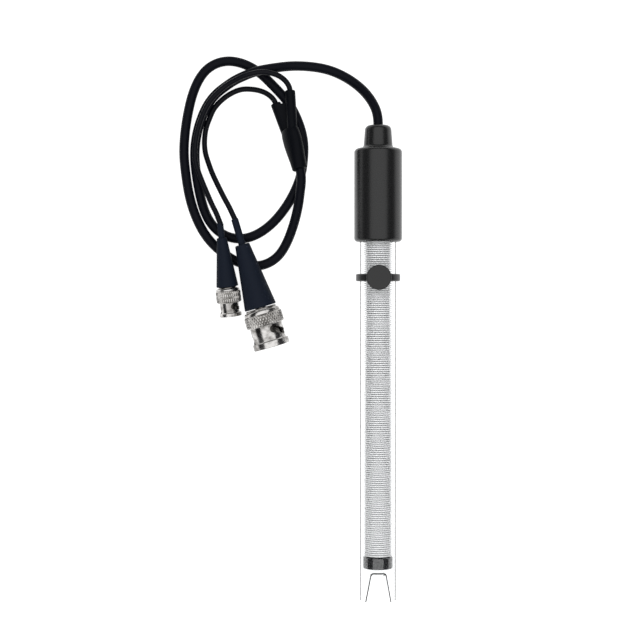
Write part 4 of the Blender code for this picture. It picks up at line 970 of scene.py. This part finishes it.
for which, size in plug_sizes.items():
    heading = math.radians(size["heading"])
    dip = math.radians(size["dip"])
    ahead = math.cos(dip)
    forward = Vector((math.sin(heading) * ahead, -math.cos(heading) * ahead, -math.sin(dip)))
    plug_lies = aimed(Vector(size["origin"]) * MM, forward, Vector((0, 0, 1)))
    fit = size["fit"]
    node = which + "_plug_"
    made = []

    length, narrow, wide, hollow, hollow_depth, rounding = size["boot"]
    neck_radius, neck_end, neck_start = size["neck"]
    sleeve = neck_radius + fit
    outline = [(hollow, 0), *corner(wide - rounding, -rounding, rounding, 90, 0, 5)]
    outline += corner(narrow - rounding, -length + rounding, rounding, 0, -90, 5)
    outline += [(sleeve, -length), (sleeve, -hollow_depth), (hollow, -hollow_depth)]
    boot = turned(which + "_boot", outline, 80)
    boot.data.materials.append(boot_black)
    made.append((boot, "boot", "boot_rubber"))

    neck_round = 0.3
    outline = [(0, -neck_end)]
    outline += corner(neck_radius - neck_round, neck_round - neck_end, neck_round, -90, 0, 4)
    outline += [(neck_radius, -neck_start), (0, -neck_start)]
    neck = turned(which + "_neck", outline, 40)
    neck.data.materials.append(boot_black)
    made.append((neck, "neck", "boot_rubber"))

    tail, tail_bore, tail_length = size["tail"]
    collar, collar_top = size["collar"]
    inner, inner_bore, inner_end = size["inner"]
    groove, groove_low, groove_high = size["groove"]
    rim, edge = size["edges"]
    floor = size["floor"]
    outline = [(tail_bore, -tail_length), (tail, -tail_length), (tail, fit)]
    outline += corner(collar - rim, fit + rim, rim, -90, 0, 4)
    outline += corner(collar - rim, collar_top - rim, rim, 0, 90, 4)
    outline += [(inner, collar_top), (inner, groove_low), (groove, groove_low)]
    outline += [(groove, groove_high), (inner, groove_high), (inner, inner_end)]
    outline += [(inner_bore, inner_end), (inner_bore, floor), (tail_bore, floor)]
    body = turned(which + "_body_turned", outline, 80)
    body.data.materials.append(satin_nickel)
    body.data.materials.append(painted_bore_shade)
    # Above the collar the body's faces get the painted bore shade.
    for face in body.data.polygons:
        face.material_index = int(face.center.z > (collar_top + 0.2) * MM)
    made.append((body, "body", "nickel"))

    step_height, nose, nose_end = size["insulator"]
    pin_radius, pin_end, pin_tail, pin_tail_length = size["pin"]
    core = pin_radius + fit
    wide = inner_bore - fit
    bottom = floor + fit
    bevel = 0.2
    outline = [(core, bottom), (wide, bottom), (wide, step_height), (nose, step_height)]
    outline += [(nose, nose_end - bevel), (nose - bevel, nose_end), (core, nose_end)]
    insulator = turned(which + "_insulator_turned", outline, 56)
    insulator.data.materials.append(white_insulator)
    made.append((insulator, "insulator", "white_ptfe"))

    step = floor - fit
    outline = [(0, -pin_tail_length), (pin_tail, -pin_tail_length), (pin_tail, step)]
    outline += [(pin_radius, step), *corner(0, pin_end - pin_radius, pin_radius, 0, 90, 6)]
    pin = turned(which + "_pin_turned", outline, 40)
    pin.data.materials.append(gilt_pin)
    made.append((pin, "pin", "gilt"))

    for piece, part, slot in made:
        piece.matrix_world = plug_lies
        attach(piece, "electrode")
        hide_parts(node + part)

    grip, grip_low, grip_high, knurl_depth = size["grip"]
    barrel, bore = size["barrel"]
    flange, flange_low, nose = size["flange"]
    rise = size["shoulder_rise"]
    below_knurl = 0.12
    collar_gap = 0.15
    shoulder_lip = 0.25
    relief = 0.15
    under = grip - knurl_depth - below_knurl
    shoulder_in = collar + collar_gap
    bulge = under - shoulder_in - 0.1
    outline = [(inner + fit, grip_low), (shoulder_in, grip_low), (shoulder_in, grip_low - rise)]
    for i in range(9):
        a = math.radians(10 * i)
        reach = shoulder_in + shoulder_lip + bulge * math.sin(a)
        outline.append((reach, grip_low - rise * math.cos(a)))
    outline += [(under, grip_low + 0.1), (under, grip_high - 0.05)]
    outline += [(barrel + relief, grip_high - 0.05), (barrel, grip_high + 0.10)]
    outline += [(barrel, flange_low - relief), (barrel + relief, flange_low)]
    outline += corner(flange - edge, flange_low + edge, edge, -90, 0, 4)
    outline += corner(flange - edge, nose - edge, edge, 0, 90, 4)
    outline += [(bore, nose), (bore, size["seat"]), (inner + fit, size["seat"])]
    coupling = turned(which + "_coupling_turned", outline, 112)
    half = size["slot"]
    detent_radius, detent_height = size["detent"]
    entry_height = flange_low - half
    ramp_start = 65
    ramp_sweep = 80
    inside = bore - 1.0
    through = barrel + 1.0
    for turn in (0, 180):
        outline = [(0, inside), (detent_radius, inside), (detent_radius, through), (0, through)]
        detent = turned("detent", outline, 32)
        detent.data.transform(
            Matrix.Translation((0, 0, detent_height * MM))
            @ Matrix.Rotation(math.radians(ramp_start + turn), 4, "Z")
            @ Matrix.Rotation(math.pi / 2, 4, "Y")
        )
        carve(coupling, detent)
        sections = []
        for i in range(19):
            angle = math.radians(ramp_start + turn - ramp_sweep * i / 18)
            level = detent_height + (entry_height - detent_height) * i / 18
            ring = []
            for r, z in ((inside, -half), (through, -half), (through, half), (inside, half)):
                ring.append((r * math.cos(angle), r * math.sin(angle), level + z))
            sections.append(ring)
        carve(coupling, lofted("ramp", sections))
        reach = size["entry"]
        ring = ((inside, -half), (reach, -half), (reach, half), (inside, half))
        entry = lofted("entry", [[(x, y, z) for x, y in ring] for z in (entry_height, nose + 1.0)])
        entry.data.transform(Matrix.Rotation(math.radians(ramp_start - ramp_sweep + turn), 4, "Z"))
        carve(coupling, entry)
    coupling.data.materials.clear()
    coupling.data.materials.append(bright_nickel)
    coupling.data.materials.append(painted_bore_shade)
    # Faces inside the bore get the painted bore shade.
    for face in coupling.data.polygons:
        in_the_bore = size["seat"] - 0.2 < face.center.z / MM < nose - 0.2
        in_the_bore = in_the_bore and face.center.xy.length / MM < barrel - 0.12
        face.material_index = int(in_the_bore)
    knurl = knurled_ring(
        which + "_coupling_knurl", grip, under - 0.3, grip_low, grip_high,
        knurl_depth, size["teeth"], size["slant"],
    )
    knurl.data.materials.append(knurled_nickel)
    for piece in (coupling, knurl):
        piece.matrix_world = plug_lies
        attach(piece, which + "_coupling")
    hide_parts(node + "coupling")

    kept = [
        dress(node + "ferrule", bright_nickel),
        dress(node + "washer", spring_metal),
        dress(node + "snap_ring", spring_metal),
        dress(node + "gasket", red_gasket),
    ]
    lead, line = branches[which]
